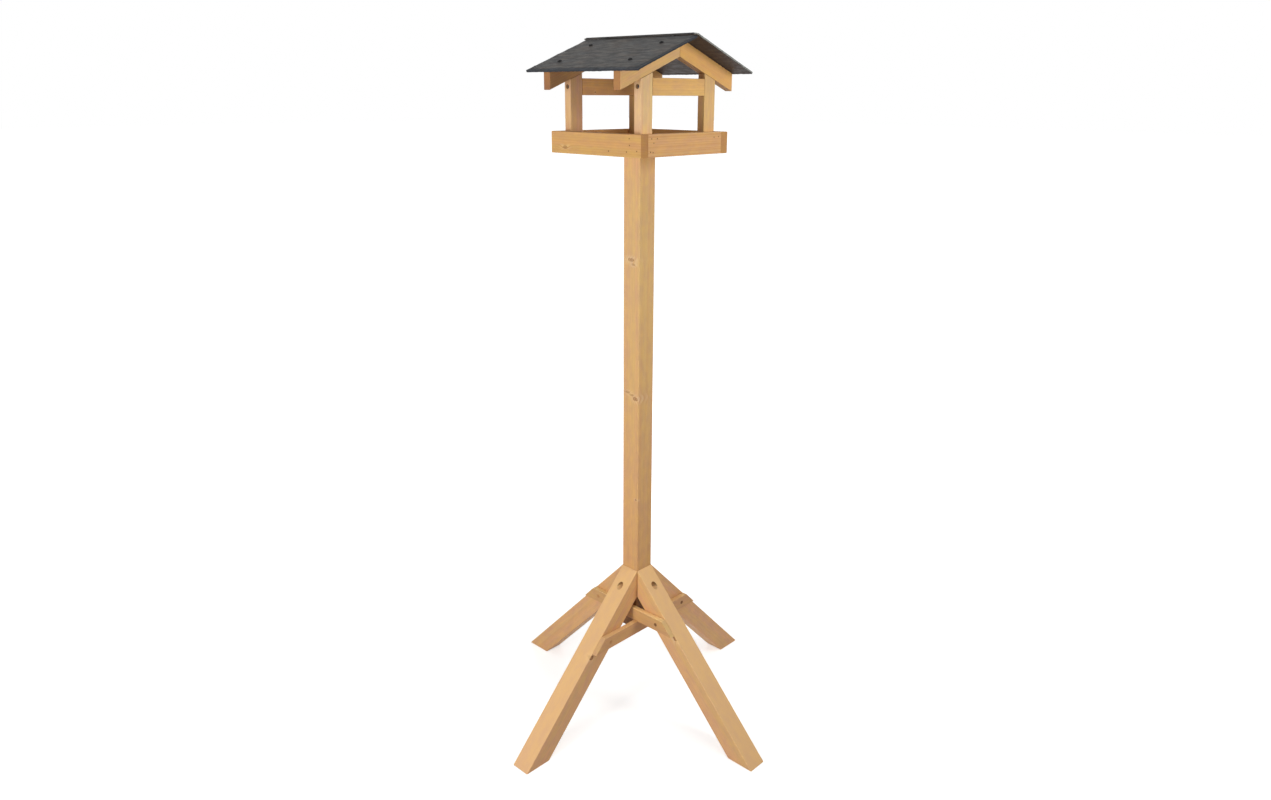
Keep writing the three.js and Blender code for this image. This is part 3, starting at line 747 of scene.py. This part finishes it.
# %% Grain, section and stain of a timber
end_grain_from, end_grain_range = 0.3, 0.35
facing_down, facing_inward, facing_light = -0.7, -0.05, 0.3
painted_top_light_slope, painted_top_light_on_ends = 1.5, 0.6


def keep(mesh, name, kind, domain, values):
    """Stores one number, or one vector, for each point or face of a mesh."""
    field = "value" if kind == "FLOAT" else "vector"
    flat = values if kind == "FLOAT" else [c for v in values for c in v]
    mesh.attributes.new(name, kind, domain).data.foreach_set(field, flat)


def mark_timber(mesh, name, order):
    """Writes the attributes that the pine materials read."""
    shape = bmesh.new()
    shape.from_mesh(mesh)
    shape.normal_update()
    longest = max((e for e in shape.edges if e.is_manifold and e.calc_face_angle() > 0.3),
                  key=lambda e: e.calc_length())
    along = (longest.verts[1].co - longest.verts[0].co).normalized()
    sides = [f for f in shape.faces if abs(f.normal.dot(along)) < 0.2]
    deep = max(sides, key=lambda f: f.calc_area()).normal.copy()
    deep = (deep - along * deep.dot(along)).normalized()
    across = along.cross(deep)
    corners = [v.co.copy() for v in shape.verts]

    ends, painted_top_lit, painted_shade = [], [], []
    for f in shape.faces:
        cut_across = abs(f.normal.dot(along))
        ends.append(listed(end_share_of, name, 1.0) * clamped(
            (cut_across - end_grain_from) / end_grain_range))
        # Upward faces get painted top light, less on the cut ends
        top_light_share = 1.0 if cut_across < 0.4 else painted_top_light_on_ends
        painted_top_lit.append(
            listed(painted_top_light_share_of, name) * clamped(painted_top_light_slope * f.normal.z) * top_light_share)
        # Painted shade: in holes, less on a wall that faces up into the light, and on faces that
        # the roof shelters
        in_light = f.normal.z > facing_light
        share = listed(painted_shade_in_holes_of, name, (0.0, 0.0))[in_light] * is_of_hole(f)
        outward = f.normal.x * f.calc_center_median().x
        if f.normal.z < facing_down or outward < facing_inward:
            share = max(share, listed(painted_shelter_shade_of, name))
        painted_shade.append(share)
    shape.free()

    reach = [[c.dot(axis) for c in corners] for axis in (along, across, deep)]
    middle = [(min(r) + max(r)) / 2 for r in reach]
    half = [(max(r) - min(r)) / 2 for r in reach]
    dice = random.Random(100 + order)
    log = (dice.uniform(0, 9), dice.choice((-1, 1)) * dice.uniform(0.06, 0.1),
           dice.uniform(-0.03, 0.03))
    stain_and_shade_pair = stain_and_shade_of[name] if len(stain_and_shade_of[name]) == 2 else (stain_and_shade_of[name], stain_and_shade_of[name])
    foot, head = min(c.z for c in corners), max(c.z for c in corners)
    grain, section, stain = [], [], []
    for i, corner in enumerate(corners):
        offset = [reach[k][i] - middle[k] for k in range(3)]
        grain.append([offset[k] + log[k] for k in range(3)])
        section.append((offset[1] / half[1], offset[2] / half[2], 0))
        # Where a piece has two stains, the lower one is painted shade at its foot
        stain.append(Vector(stain_and_shade_pair[0]).lerp(Vector(stain_and_shade_pair[1]), (corner.z - foot) / (head - foot)))
    keep(mesh, "grain", "FLOAT_VECTOR", "POINT", grain)
    keep(mesh, "section", "FLOAT_VECTOR", "POINT", section)
    keep(mesh, "stain", "FLOAT_VECTOR", "POINT", stain)
    keep(mesh, "end", "FLOAT", "FACE", ends)
    keep(mesh, "painted_top_light", "FLOAT", "FACE", painted_top_lit)
    keep(mesh, "painted_shade", "FLOAT", "FACE", painted_shade)


print("Attributes: grain, section, stain, end, bleach, pooled")

# %% Dress every timber
timbers = sorted(n for n in nodes if "screw" not in n and not n.startswith("slate"))
face_count = 0
for order, name in enumerate(timbers):
    shape = merged_copy(name)
    soften(shape, listed(softness_of, name))
    mesh = bpy.data.meshes.new(name + "_pine")
    shape.to_mesh(mesh)
    shape.free()
    piece = link_piece(name + "_pine", mesh)
    if name in nails:
        punch(piece, nails[name])
    mark_timber(piece.data, name, order)
    even_shading(piece)
    kind = "tray_side" if "tray_side" in name else name.split("_")[0]
    piece.data.materials.clear()
    piece.data.materials.append(pine_for[kind])
    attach(piece, "root")
    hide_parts(name)
    face_count += len(piece.data.polygons)
print("Timbers:", len(timbers), "faces:", face_count)

# %% [markdown]
# ## Screws
#
# Screws repeat, so one Geometry Nodes tree makes them all: a head that is domed or
# countersunk, a cross recess cut with a Boolean, a core, a point and a thread that winds
# round it. The tree puts one on every vertex of a small mesh of seats, turned to face that
# seat's way, with a seeded random twist, as no one lines up their slots. Each family of
# screws has its own sizes through the modifier's inputs.

# %% Helpers for shapes made by nodes
def shifted(geometry, move=(0, 0, 0), turn=(0, 0, 0), size=(1, 1, 1)):
    feeds = {"Geometry": geometry, "Translation": move, "Rotation": turn, "Scale": size}
    return wire("GeometryNodeTransform", feeds)


def up_by(height):
    return vector_of(z=height)


def cone(sides, top, bottom, depth):
    feeds = {"Vertices": sides, "Radius Top": top, "Radius Bottom": bottom, "Depth": depth}
    return wire("GeometryNodeMeshCone", feeds)


def facing_way():
    """The turn from straight up to the way that a seat faces."""
    way = wire("GeometryNodeInputNamedAttribute", {"Name": "way"}, data_type="FLOAT_VECTOR")
    return wire("FunctionNodeAlignRotationToVector", {"Vector": way}, axis="Z")


def real_copies(points, shape, turn, finish):
    """One real copy of a shape on each point, with its material."""
    placed = wire("GeometryNodeInstanceOnPoints", {
        "Points": points, "Instance": shape, "Rotation": turn})
    return finished(wire("GeometryNodeRealizeInstances", {0: placed}), finish)


def finished(geometry, finish):
    return wire("GeometryNodeSetMaterial", {"Geometry": geometry, "Material": finish})


print("Shapes that nodes make: cones, copies on points")

# %% Screw tree
screw_tree, ends, made = new_group("screw_on_each_seat", "GeometryNodeTree", {
    "Seats": "Geometry", "Domed": True, "Head radius": 0.004, "Head height": 0.0026,
    "Shank radius": 0.002, "Length": 0.03, "Thread pitch": 0.0016, "Recess depth": 0.6,
    "Seed": 0, "Finish": "Material"}, {"Screws": "Geometry"})
core_share, thread_share = 0.74, 0.72
arm_reach, arm_width = 1.15, 0.26
crown_edge, crown_rise = 2.6, 0.45
head_radius, head_height = ends["Head radius"], ends["Head height"]
core_radius = ends["Shank radius"] * core_share

ball = wire("GeometryNodeMeshUVSphere", {"Segments": 20, "Rings": 10, "Radius": 1.0})
flat_place = calc_vector("MULTIPLY", wire("GeometryNodeInputPosition"), (1, 1, 0))
height_now = wire("ShaderNodeSeparateXYZ", {0: wire("GeometryNodeInputPosition")}, out="Z")
inside = 1.0 - calc("POWER", length_of(flat_place), crown_edge)
crown = calc("POWER", calc("MAXIMUM", inside, 0.0), crown_rise)
crown = crown * calc("GREATER_THAN", height_now, 0.0001)
dome = wire("GeometryNodeSetPosition", {
    "Geometry": ball, "Position": calc_vector("ADD", flat_place, up_by(crown))})
dome = shifted(dome, size=vector_of(head_radius, head_radius, head_height))
sunk = shifted(cone(20, head_radius, core_radius, head_height), up_by(-head_height))
head = wire("GeometryNodeSwitch", {"Switch": ends["Domed"], "False": sunk, "True": dome},
            input_type="GEOMETRY")

recess_middle = wire("GeometryNodeSwitch", {
    "Switch": ends["Domed"], "False": 0.0, "True": head_height}, input_type="FLOAT")
arm = vector_of(head_radius * arm_reach, head_radius * arm_width,
                head_height * (ends["Recess depth"] * 2.0))
bar = wire("GeometryNodeMeshCube", {"Size": arm})
arms = [shifted(bar, up_by(recess_middle), (0, 0, turn)) for turn in (0, math.pi / 2)]
cross = wire("GeometryNodeMeshBoolean", {"Mesh 2": arms}, operation="UNION")
head = wire("GeometryNodeMeshBoolean", {"Mesh 1": head, "Mesh 2": cross},
            operation="DIFFERENCE")

tip = ends["Shank radius"] * 2.0
straight = ends["Length"] - tip
core = shifted(cone(12, core_radius, core_radius, straight), up_by(-straight))
point = shifted(cone(12, core_radius, 0.0, tip), up_by(-ends["Length"]))
threaded = straight * thread_share
helix = wire("GeometryNodeCurveSpiral", {
    "Resolution": 12, "Rotations": threaded / ends["Thread pitch"],
    "Start Radius": core_radius, "End Radius": core_radius, "Height": threaded})
ridge = wire("GeometryNodeCurvePrimitiveCircle", {
    "Resolution": 3, "Radius": ends["Shank radius"] - core_radius})
thread = wire("GeometryNodeCurveToMesh", {
    "Curve": helix, "Profile Curve": ridge, "Fill Caps": True})
thread = shifted(thread, up_by(-straight))
screw = wire("GeometryNodeJoinGeometry", {0: [head, core, point, thread]})

twist = wire("FunctionNodeRandomValue", {2: 0.0, 3: math.pi / 2, "Seed": ends["Seed"]}, out=1,
             data_type="FLOAT")
twist = wire("FunctionNodeAxisAngleToRotation", {"Axis": (0, 0, 1), "Angle": twist})
turn = wire("FunctionNodeRotateRotation", {"Rotation": facing_way(), "Rotate By": twist},
            rotation_space="LOCAL")
feed(made, {"Screws": real_copies(ends["Seats"], screw, turn, ends["Finish"])})
print("screw_on_each_seat has", len(screw_tree.nodes), "nodes")

# %% [markdown]
# The screws need five metals: zinc plate that has gone dull, the same plate with a little
# stain on it in the legs, two kinds in the ties, where the screws were stained over, some so
# thickly that they hardly show, and the dark plate of the screws in the slates. They share a
# group that breaks up their gloss with small blotches.

# %% Dull metal
dull_metal, ends, made = new_group("dull_metal", "ShaderNodeTree", {
    "Place": "Vector", "Bright": colour(190, 188, 182), "Dull": colour(120, 116, 108),
    "Smooth": 0.3, "Rough": 0.6}, {"Color": "Color", "Roughness": "Float", "Height": "Float"})
blotch = ease(cloud(ends["Place"], size=700.0, detail=3.0), 0.35, 0.65)
feed(made, {
    "Color": blend_colour(blotch, ends["Bright"], ends["Dull"]),
    "Roughness": blend(blotch, ends["Smooth"], ends["Rough"]),
    "Height": cloud(ends["Place"], size=2600.0, detail=2.0)})


def metal_material(name, bright, dull, smooth, rough, metallic):
    material, shader = new_material(name)
    finish = group_node(dull_metal, {
        "Place": wire("ShaderNodeTexCoord", out="Object"),
        "Bright": colour(*bright), "Dull": colour(*dull), "Smooth": smooth, "Rough": rough})
    feed(shader, {
        "Base Color": finish["Color"], "Roughness": finish["Roughness"],
        "Metallic": metallic, "Normal": bump(0.2, 0.00008, finish["Height"])})
    return material


zinc_plate = metal_material("zinc_plate", (146, 144, 144), (94, 90, 87), 0.38, 0.6, 0.85)
stained_zinc = metal_material("stained_zinc", (190, 164, 124), (134, 104, 70), 0.5, 0.8, 0.3)
stained_over = metal_material("stained_over", (150, 106, 66), (112, 76, 46), 0.7, 0.9, 0.1)
brushed_over = metal_material("brushed_over", (204, 150, 96), (184, 130, 80), 0.7, 0.9, 0.0)
dark_plate = metal_material("dark_plate", (26, 25, 27), (15, 15, 17), 0.6, 0.8, 0.2)
print("Five metals share one group")

# %% [markdown]
# Each seat is read off the CAD screw that it replaces. A screw is round, so the mean of
# its corners lies on its axis, and the highest corner along the axis is the top of the
# head. The result is turned into a plain mesh and the modifier is taken off.

# %% Seats and growing
small_parts_smooth_up_to = math.radians(35)


def seat_of(node, way, head_height):
    """The point under a screw's head, on its axis."""
    corners = [v.co for v in nodes[node].data.vertices]
    middle = sum(corners, Vector()) / len(corners)
    top = max((c - middle).dot(way) for c in corners)
    return middle + way * (top - head_height)


def points_mesh(name, places, ways):
    mesh = bpy.data.meshes.new(name)
    mesh.from_pydata([tuple(p) for p in places], [], [])
    keep(mesh, "way", "FLOAT_VECTOR", "POINT", ways)
    return mesh


def grow(name, mesh, tree, settings):
    """Runs a Geometry Nodes tree on a mesh and keeps the result as a plain mesh."""
    piece = link_piece(name, mesh)
    maker = piece.modifiers.new("maker", "NODES")
    maker.node_group = tree
    keys = {s.name: s.identifier for s in tree.interface.items_tree if s.in_out == "INPUT"}
    for title, value in settings.items():
        maker[keys[title]] = value
    plain = bake(piece)
    plain.name = name
    plain.shade_smooth()
    plain.set_sharp_from_angle(angle=small_parts_smooth_up_to)
    return piece


def screw_family(name, finish, seats, domed, head_radius, head_height, shank_radius,
                 length, pitch, seed, recess=0.6):
    """One object with every screw of a family; seats maps a CAD screw to the way it faces."""
    places = [seat_of(node, way, head_height if domed else 0.0) for node, way in seats.items()]
    piece = grow(name, points_mesh(name, places, seats.values()), screw_tree, {
        "Domed": domed, "Head radius": head_radius, "Head height": head_height,
        "Shank radius": shank_radius, "Length": length, "Thread pitch": pitch,
        "Recess depth": recess, "Seed": seed, "Finish": finish})
    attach(piece, "root")
    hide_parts(*seats)
    print(name, "screws:", len(seats), "faces:", len(piece.data.polygons))


print("A piece is grown on its seats")

# %% Put the screws in
roof_pitch = math.radians(21)
way_to = {"left": Vector((-1, 0, 0)), "right": Vector((1, 0, 0)),
          "front": Vector((0, -1, 0)), "back": Vector((0, 1, 0))}
out_of_slope = {side: Vector((sign * math.sin(roof_pitch), 0, math.cos(roof_pitch)))
                for side, sign in (("left", -1), ("right", 1))}

leg_seats = {f"leg_screw_{side}": way for side, way in way_to.items()}
tie_seats = {"tie_lower_screw_right": way_to["front"], "tie_upper_screw_front": way_to["left"]}
brushed_tie_seats = {"tie_lower_screw_left": way_to["front"],
                     "tie_upper_screw_back": way_to["left"]}
floor_seats = {f"floor_screw_{n}": Vector((0, 0, 1)) for n in (1, 2, 3, 4)}
upright_seats = {f"upright_screw_{side}_{end}": way_to[side]
                 for side in ("left", "right") for end in ("front", "back")}
slate_seats = {f"slate_screw_{side}_{end}_{row}": out_of_slope[side]
               for side in ("left", "right") for end in ("front", "back")
               for row in ("upper", "lower")}

# After the seats: domed or not, head radius and height, shank radius, length, pitch, seed
screw_family("leg_screws", stained_zinc, leg_seats, True,
             0.0056, 0.0036, 0.0030, 0.0310, 0.0026, 1)
screw_family("tie_screws", stained_over, tie_seats, False,
             0.0040, 0.0026, 0.0020, 0.0340, 0.0018, 2, recess=0.2)
screw_family("brushed_over_tie_screws", brushed_over, brushed_tie_seats, False,
             0.0040, 0.0026, 0.0020, 0.0340, 0.0018, 6, recess=0.08)
screw_family("floor_screws", zinc_plate, floor_seats, False,
             0.0042, 0.0028, 0.0022, 0.0500, 0.0020, 3)
screw_family("upright_screws", zinc_plate, upright_seats, True,
             0.0038, 0.0024, 0.0020, 0.0470, 0.0018, 4)
screw_family("slate_screws", dark_plate, slate_seats, True,
             0.0043, 0.0026, 0.0020, 0.0253, 0.0018, 5)

# %% [markdown]
# ## Nails
#
# The tray's boards are held by thin wire nails, driven just below the surface. They
# follow the same way as the screws, with a simpler tree: a flat head, a shank and a point.

# %% Nails
nail_tree, ends, made = new_group("nail_in_each_hole", "GeometryNodeTree", {
    "Holes": "Geometry", "Head radius": 0.0015, "Head thickness": 0.0006,
    "Shank radius": 0.0009, "Length": 0.03, "Tip": 0.002, "Sink": 0.0005,
    "Finish": "Material"}, {"Nails": "Geometry"})
head_radius, thickness, shank_radius = (
    ends["Head radius"], ends["Head thickness"], ends["Shank radius"])
head = shifted(cone(12, head_radius * 0.86, head_radius, thickness), up_by(-thickness))
shank = shifted(cone(8, shank_radius, shank_radius, ends["Length"]), up_by(-ends["Length"]))
point = shifted(cone(8, shank_radius, 0.0, ends["Tip"]), up_by(-ends["Length"] - ends["Tip"]))
nail = wire("GeometryNodeJoinGeometry", {0: [head, shank, point]})
nail = shifted(nail, up_by(-ends["Sink"]))
feed(made, {"Nails": real_copies(ends["Holes"], nail, facing_way(), ends["Finish"])})

nail_steel = metal_material("nail_steel", (170, 124, 76), (132, 92, 54), 0.7, 0.9, 0.1)
every_nail = [nail for places in nails.values() for nail in places]
mesh = points_mesh("tray_nails", *zip(*every_nail))
tray_nails = grow("tray_nails", mesh, nail_tree, {
    "Head radius": nail_head_radius, "Head thickness": nail_head_thickness,
    "Shank radius": nail_shank_radius, "Length": nail_length, "Sink": nail_sink,
    "Finish": nail_steel})
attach(tray_nails, "root")
print("Nails:", len(every_nail), "faces:", len(tray_nails.data.polygons))

# %% [markdown]
# ## Slates
#
# A roofing slate is split, not sawn: its faces are riven, with shallow terraces where
# layers flaked off, and three of its edges are chipped to a bevel with a slater's knife,
# which leaves a ragged lip under the eave. The ridge edge is sawn straight, so that the lap
# is tight, and where it laps over it is eased with a stone. A flat box with a picture on it
# looks like card. The tree below follows the slater's rule: it starts from a fine slab,
# draws the rim in by a wavering amount, lowers the face by riven noise, and breaks the
# bevel into chips whose width changes along the edge. Only the lip reaches a little below
# the CAD slate, inside the box of the whole. Round each screw the face is left flat, so the
# heads sit down.

# %% The slab and its distances
slate_tree, ends, made = new_group("riven_slate", "GeometryNodeTree", {
    "Geometry": "Geometry", "Start run": 0.006, "Eave run": 0.175, "Length": 0.3,
    "Thickness": 0.005, "Dress width": 0.0085, "Dress depth": 0.0014, "Waver": 0.0011,
    "Eave lip": 0.0012, "Ridge chip": 0.0, "Riven depth": 0.0009, "Hole line": 0.0937,
    "Upper holes": 0.044, "Lower holes": 0.133, "Hole radius": 0.0023, "Seed": 0.0,
    "Pitch": 0.3665, "Ridge height": 1.467, "Stand-off": 0.0003, "Half turn": 0.0,
    "Finish": "Material"}, {"Slate": "Geometry"})
slab = wire("GeometryNodeMeshCube", {
    "Size": (2, 2, 1), "Vertices X": 116, "Vertices Y": 190, "Vertices Z": 2})
slab_x, slab_y, slab_z = parts_of(wire("GeometryNodeInputPosition"))
crowding = 1.18


def crowd_to_rim(value):
    """Moves the rows of points towards the edges, where the chips are."""
    return calc("SINE", value * crowding) / math.sin(crowding)


u, v = crowd_to_rim(slab_x), crowd_to_rim(slab_y)
half_run = (ends["Eave run"] - ends["Start run"]) * 0.5
mid_run = (ends["Eave run"] + ends["Start run"]) * 0.5
half_long = ends["Length"] * 0.5
x, y = u * half_run - mid_run, v * half_long
from_eave = (1.0 + u) * half_run
from_ridge = (1.0 - u) * half_run
from_gable = (1.0 - calc("ABSOLUTE", v)) * half_long
rim = calc("MINIMUM", from_eave, from_gable)
flat_place = vector_of(x, y, ends["Seed"])
print("Slab and distances:", len(slate_tree.nodes), "nodes")

# %% Waver, riven face and chips
waver_band, lip_band, ridge_band = 0.014, 0.006, 0.004
flat_round_hole, riven_round_hole = 0.005, 0.012
under_swell = 0.0005
layers = 9.0


def seeded_cloud(size, detail, shift):
    """Noise over the slab with its own seed, so the two slates differ."""
    moved = calc_vector("ADD", flat_place, (0, 0, shift))
    return cloud(moved, size=size, detail=detail)


def draw_in(place, half, rim_distance, shift):
    """Moves the rim inwards by a wavering amount that dies out away from it."""
    amount = ease(seeded_cloud(26.0, 4.0, shift), 0.25, 0.75) * ends["Waver"]
    return place - amount * fade(rim_distance, 0.0, waver_band) * calc("SIGN", half)


def hole_distance(run):
    away = vector_of(x + run, calc("ABSOLUTE", y) - ends["Hole line"])
    return length_of(away)


layer = seeded_cloud(24.0, 5.0, 13.0) * layers
terrace = (calc("FLOOR", layer) + ease(calc("FRACT", layer), 0.72, 1.0)) / layers
swell = seeded_cloud(14.0, 1.0, 11.0)
fine = seeded_cloud(420.0, 2.0, 17.0)
riven = ease(terrace * 0.62 + swell * 0.28 + fine * 0.10, 0.22, 0.78)
nearest_hole = calc("MINIMUM", hole_distance(ends["Upper holes"]),
                    hole_distance(ends["Lower holes"]))
riven = riven * ease(nearest_hole, flat_round_hole, riven_round_hole)
riven = riven * ease(from_ridge, 0.0, 0.02, 0.15, 1.0)

chip_wide = ease(seeded_cloud(85.0, 3.0, 19.0), 0.3, 0.7, 0.45, 1.35) * ends["Dress width"]
chip = fade(rim / chip_wide, 0.0, 1.0)
chip_rough = calc("MINIMUM", 0.75 + seeded_cloud(300.0, 2.0, 23.0) * 0.5, 1.0)
drop = chip * ends["Dress depth"] * chip_rough
drop = drop + fade(from_ridge, 0.0, ridge_band) * ends["Ridge chip"]
top = ends["Thickness"] - drop - riven * ends["Riven depth"]
ragged = ease(seeded_cloud(120.0, 3.0, 31.0), 0.3, 0.7, 0.6, 1.0)
lip = fade(from_eave, 0.0, lip_band) * ragged * ends["Eave lip"]
under = seeded_cloud(30.0, 4.0, 29.0) * under_swell - lip
up_share = slab_z + 0.5
shaped_place = vector_of(draw_in(x, u, from_eave, 3.0), draw_in(y, v, from_gable, 7.0),
                         blend(up_share, under, top))
print("Slab, face and chips:", len(slate_tree.nodes), "nodes")

# %% Shape, drill and lay the slab
def marked(geometry, name, value, kind="FLOAT"):
    """Keeps a value on the mesh, for the material to read."""
    return wire("GeometryNodeStoreNamedAttribute", {
        "Geometry": geometry, "Name": name, "Value": value}, data_type=kind, domain="POINT")


slate = marked(marked(slab, "chip", chip), "up", up_share)
slate = wire("GeometryNodeSetPosition", {"Geometry": slate, "Position": shaped_place})
slate = marked(slate, "lay", wire("GeometryNodeInputPosition"), "FLOAT_VECTOR")

drill = wire("GeometryNodeMeshCylinder", {
    "Vertices": 16, "Radius": ends["Hole radius"], "Depth": 0.03})
drills = [shifted(drill, vector_of(-run, ends["Hole line"] * sign))
          for run in (ends["Upper holes"], ends["Lower holes"]) for sign in (-1.0, 1.0)]
slate = wire("GeometryNodeMeshBoolean", {
    "Mesh 1": slate, "Mesh 2": wire("GeometryNodeJoinGeometry", {0: drills})},
    operation="DIFFERENCE")

slate = shifted(slate, up_by(ends["Stand-off"]))
slate = shifted(slate, up_by(ends["Ridge height"]), turn=vector_of(y=-ends["Pitch"]))
slate = shifted(slate, turn=vector_of(z=ends["Half turn"]))
feed(made, {"Slate": finished(slate, ends["Finish"])})
print("riven_slate has", len(slate_tree.nodes), "nodes")

# %% [markdown]
# Slate is grey, but never one grey: blue and brown patches of a few centimetres lie under
# fine streaks that follow the split. Each slate gets the same recipe with its own colour
# for the chipped rim: dark blue-grey on the left slate, and on the right slate a pale grey
# that is a painted highlight where its edge catches the light. The brown on the undersides
# is painted shade, browned by light bounced from the wood.

# %% Slate material
blue_grey, brown_grey = colour(43, 44, 45), colour(69, 66, 61)
earthy_grey, streak_grey = colour(86, 72, 60), colour(46, 46, 48)
# The last colour is painted shade for the slates' undersides, browned as by light bounced from the
# wood
grit_grey, painted_underside_shade = colour(102, 101, 98), colour(50, 37, 32)


def slate_material(name, chip_colour_and_highlight):
    """Riven slate, with its own colour on the chipped rim, which on one slate is a painted
    highlight.
    """
    material, shader = new_material(name)
    lay = stored("lay", "Vector")
    broad = ease(cloud(spread(lay, 30, 16, 1), detail=4.0, rough=0.6), 0.32, 0.68)
    earthy = ease(cloud(spread(lay, 44, 18, 1), detail=3.0), 0.45, 0.7)
    streak = ease(cloud(spread(lay, 120, 32, 1), detail=5.0, rough=0.65), 0.32, 0.68)
    grit = cloud(lay, size=1500.0, detail=2.0)
    # Painted shade on the underside, brown as from light bounced off the wood
    underside = fade(stored("up"), 0.02, 0.08)
    chipped = ease(stored("chip"), 0.08, 0.5) * ease(streak, 0.2, 0.8, 0.95, 0.6)
    grey = blend_colour(broad, blue_grey, brown_grey)
    for share, tint in (
            (earthy * 0.5, earthy_grey), (streak * 0.55, streak_grey),
            (ease(grit, 0.55, 0.8) * 0.3, grit_grey),
            (chipped * (1.0 - underside), chip_colour_and_highlight),
            (underside * ease(broad, 0.0, 1.0, 0.6, 0.9), painted_underside_shade)):
        grey = blend_colour(share, grey, tint)
    feed(shader, {
        "Base Color": grey, "Roughness": 0.52 + streak * 0.2, "Specular IOR Level": 0.35,
        "Normal": bump(0.5, 0.0005, streak * 0.7 + grit * 0.4)})
    return material


slate_of = {
    "left": slate_material("slate_with_dark_rim", colour(34, 39, 47)),
    # The pale rim is a painted highlight where the edge catches the light
    "right": slate_material("slate_with_pale_rim", colour(150, 151, 146)),
}
print("Slate materials:", len(slate_of))

# %% Lay the two slates
slate_thickness = 0.005
stand_off = 0.0003
slate_run = 0.175
slate_lap = 0.009
lap_angle = 2 * roof_pitch
left_start = slate_thickness / math.tan(lap_angle) + stand_off / math.sin(lap_angle)
right_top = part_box("slate_right")[1].z
above_ridge = (slate_lap * math.sin(roof_pitch)
               + (slate_thickness + stand_off) * math.cos(roof_pitch))
for side, start, half_turn, seed, ridge_chip in (
        ("left", left_start, 0.0, 0.0, 0.0), ("right", -slate_lap, math.pi, 5.3, 0.0012)):
    name = f"slate_{side}_riven"
    piece = grow(name, bpy.data.meshes.new(name), slate_tree, {
        "Start run": start, "Eave run": slate_run, "Thickness": slate_thickness,
        "Stand-off": stand_off, "Pitch": roof_pitch, "Ridge height": right_top - above_ridge,
        "Half turn": half_turn, "Seed": seed, "Ridge chip": ridge_chip,
        "Finish": slate_of[side]})
    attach(piece, "root")
    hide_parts(f"slate_{side}")
    low = [min(v.co[k] for v in piece.data.vertices) for k in range(3)]
    high = [max(v.co[k] for v in piece.data.vertices) for k in range(3)]
    print(name, "faces:", len(piece.data.polygons), "box:", rounded(low, high))
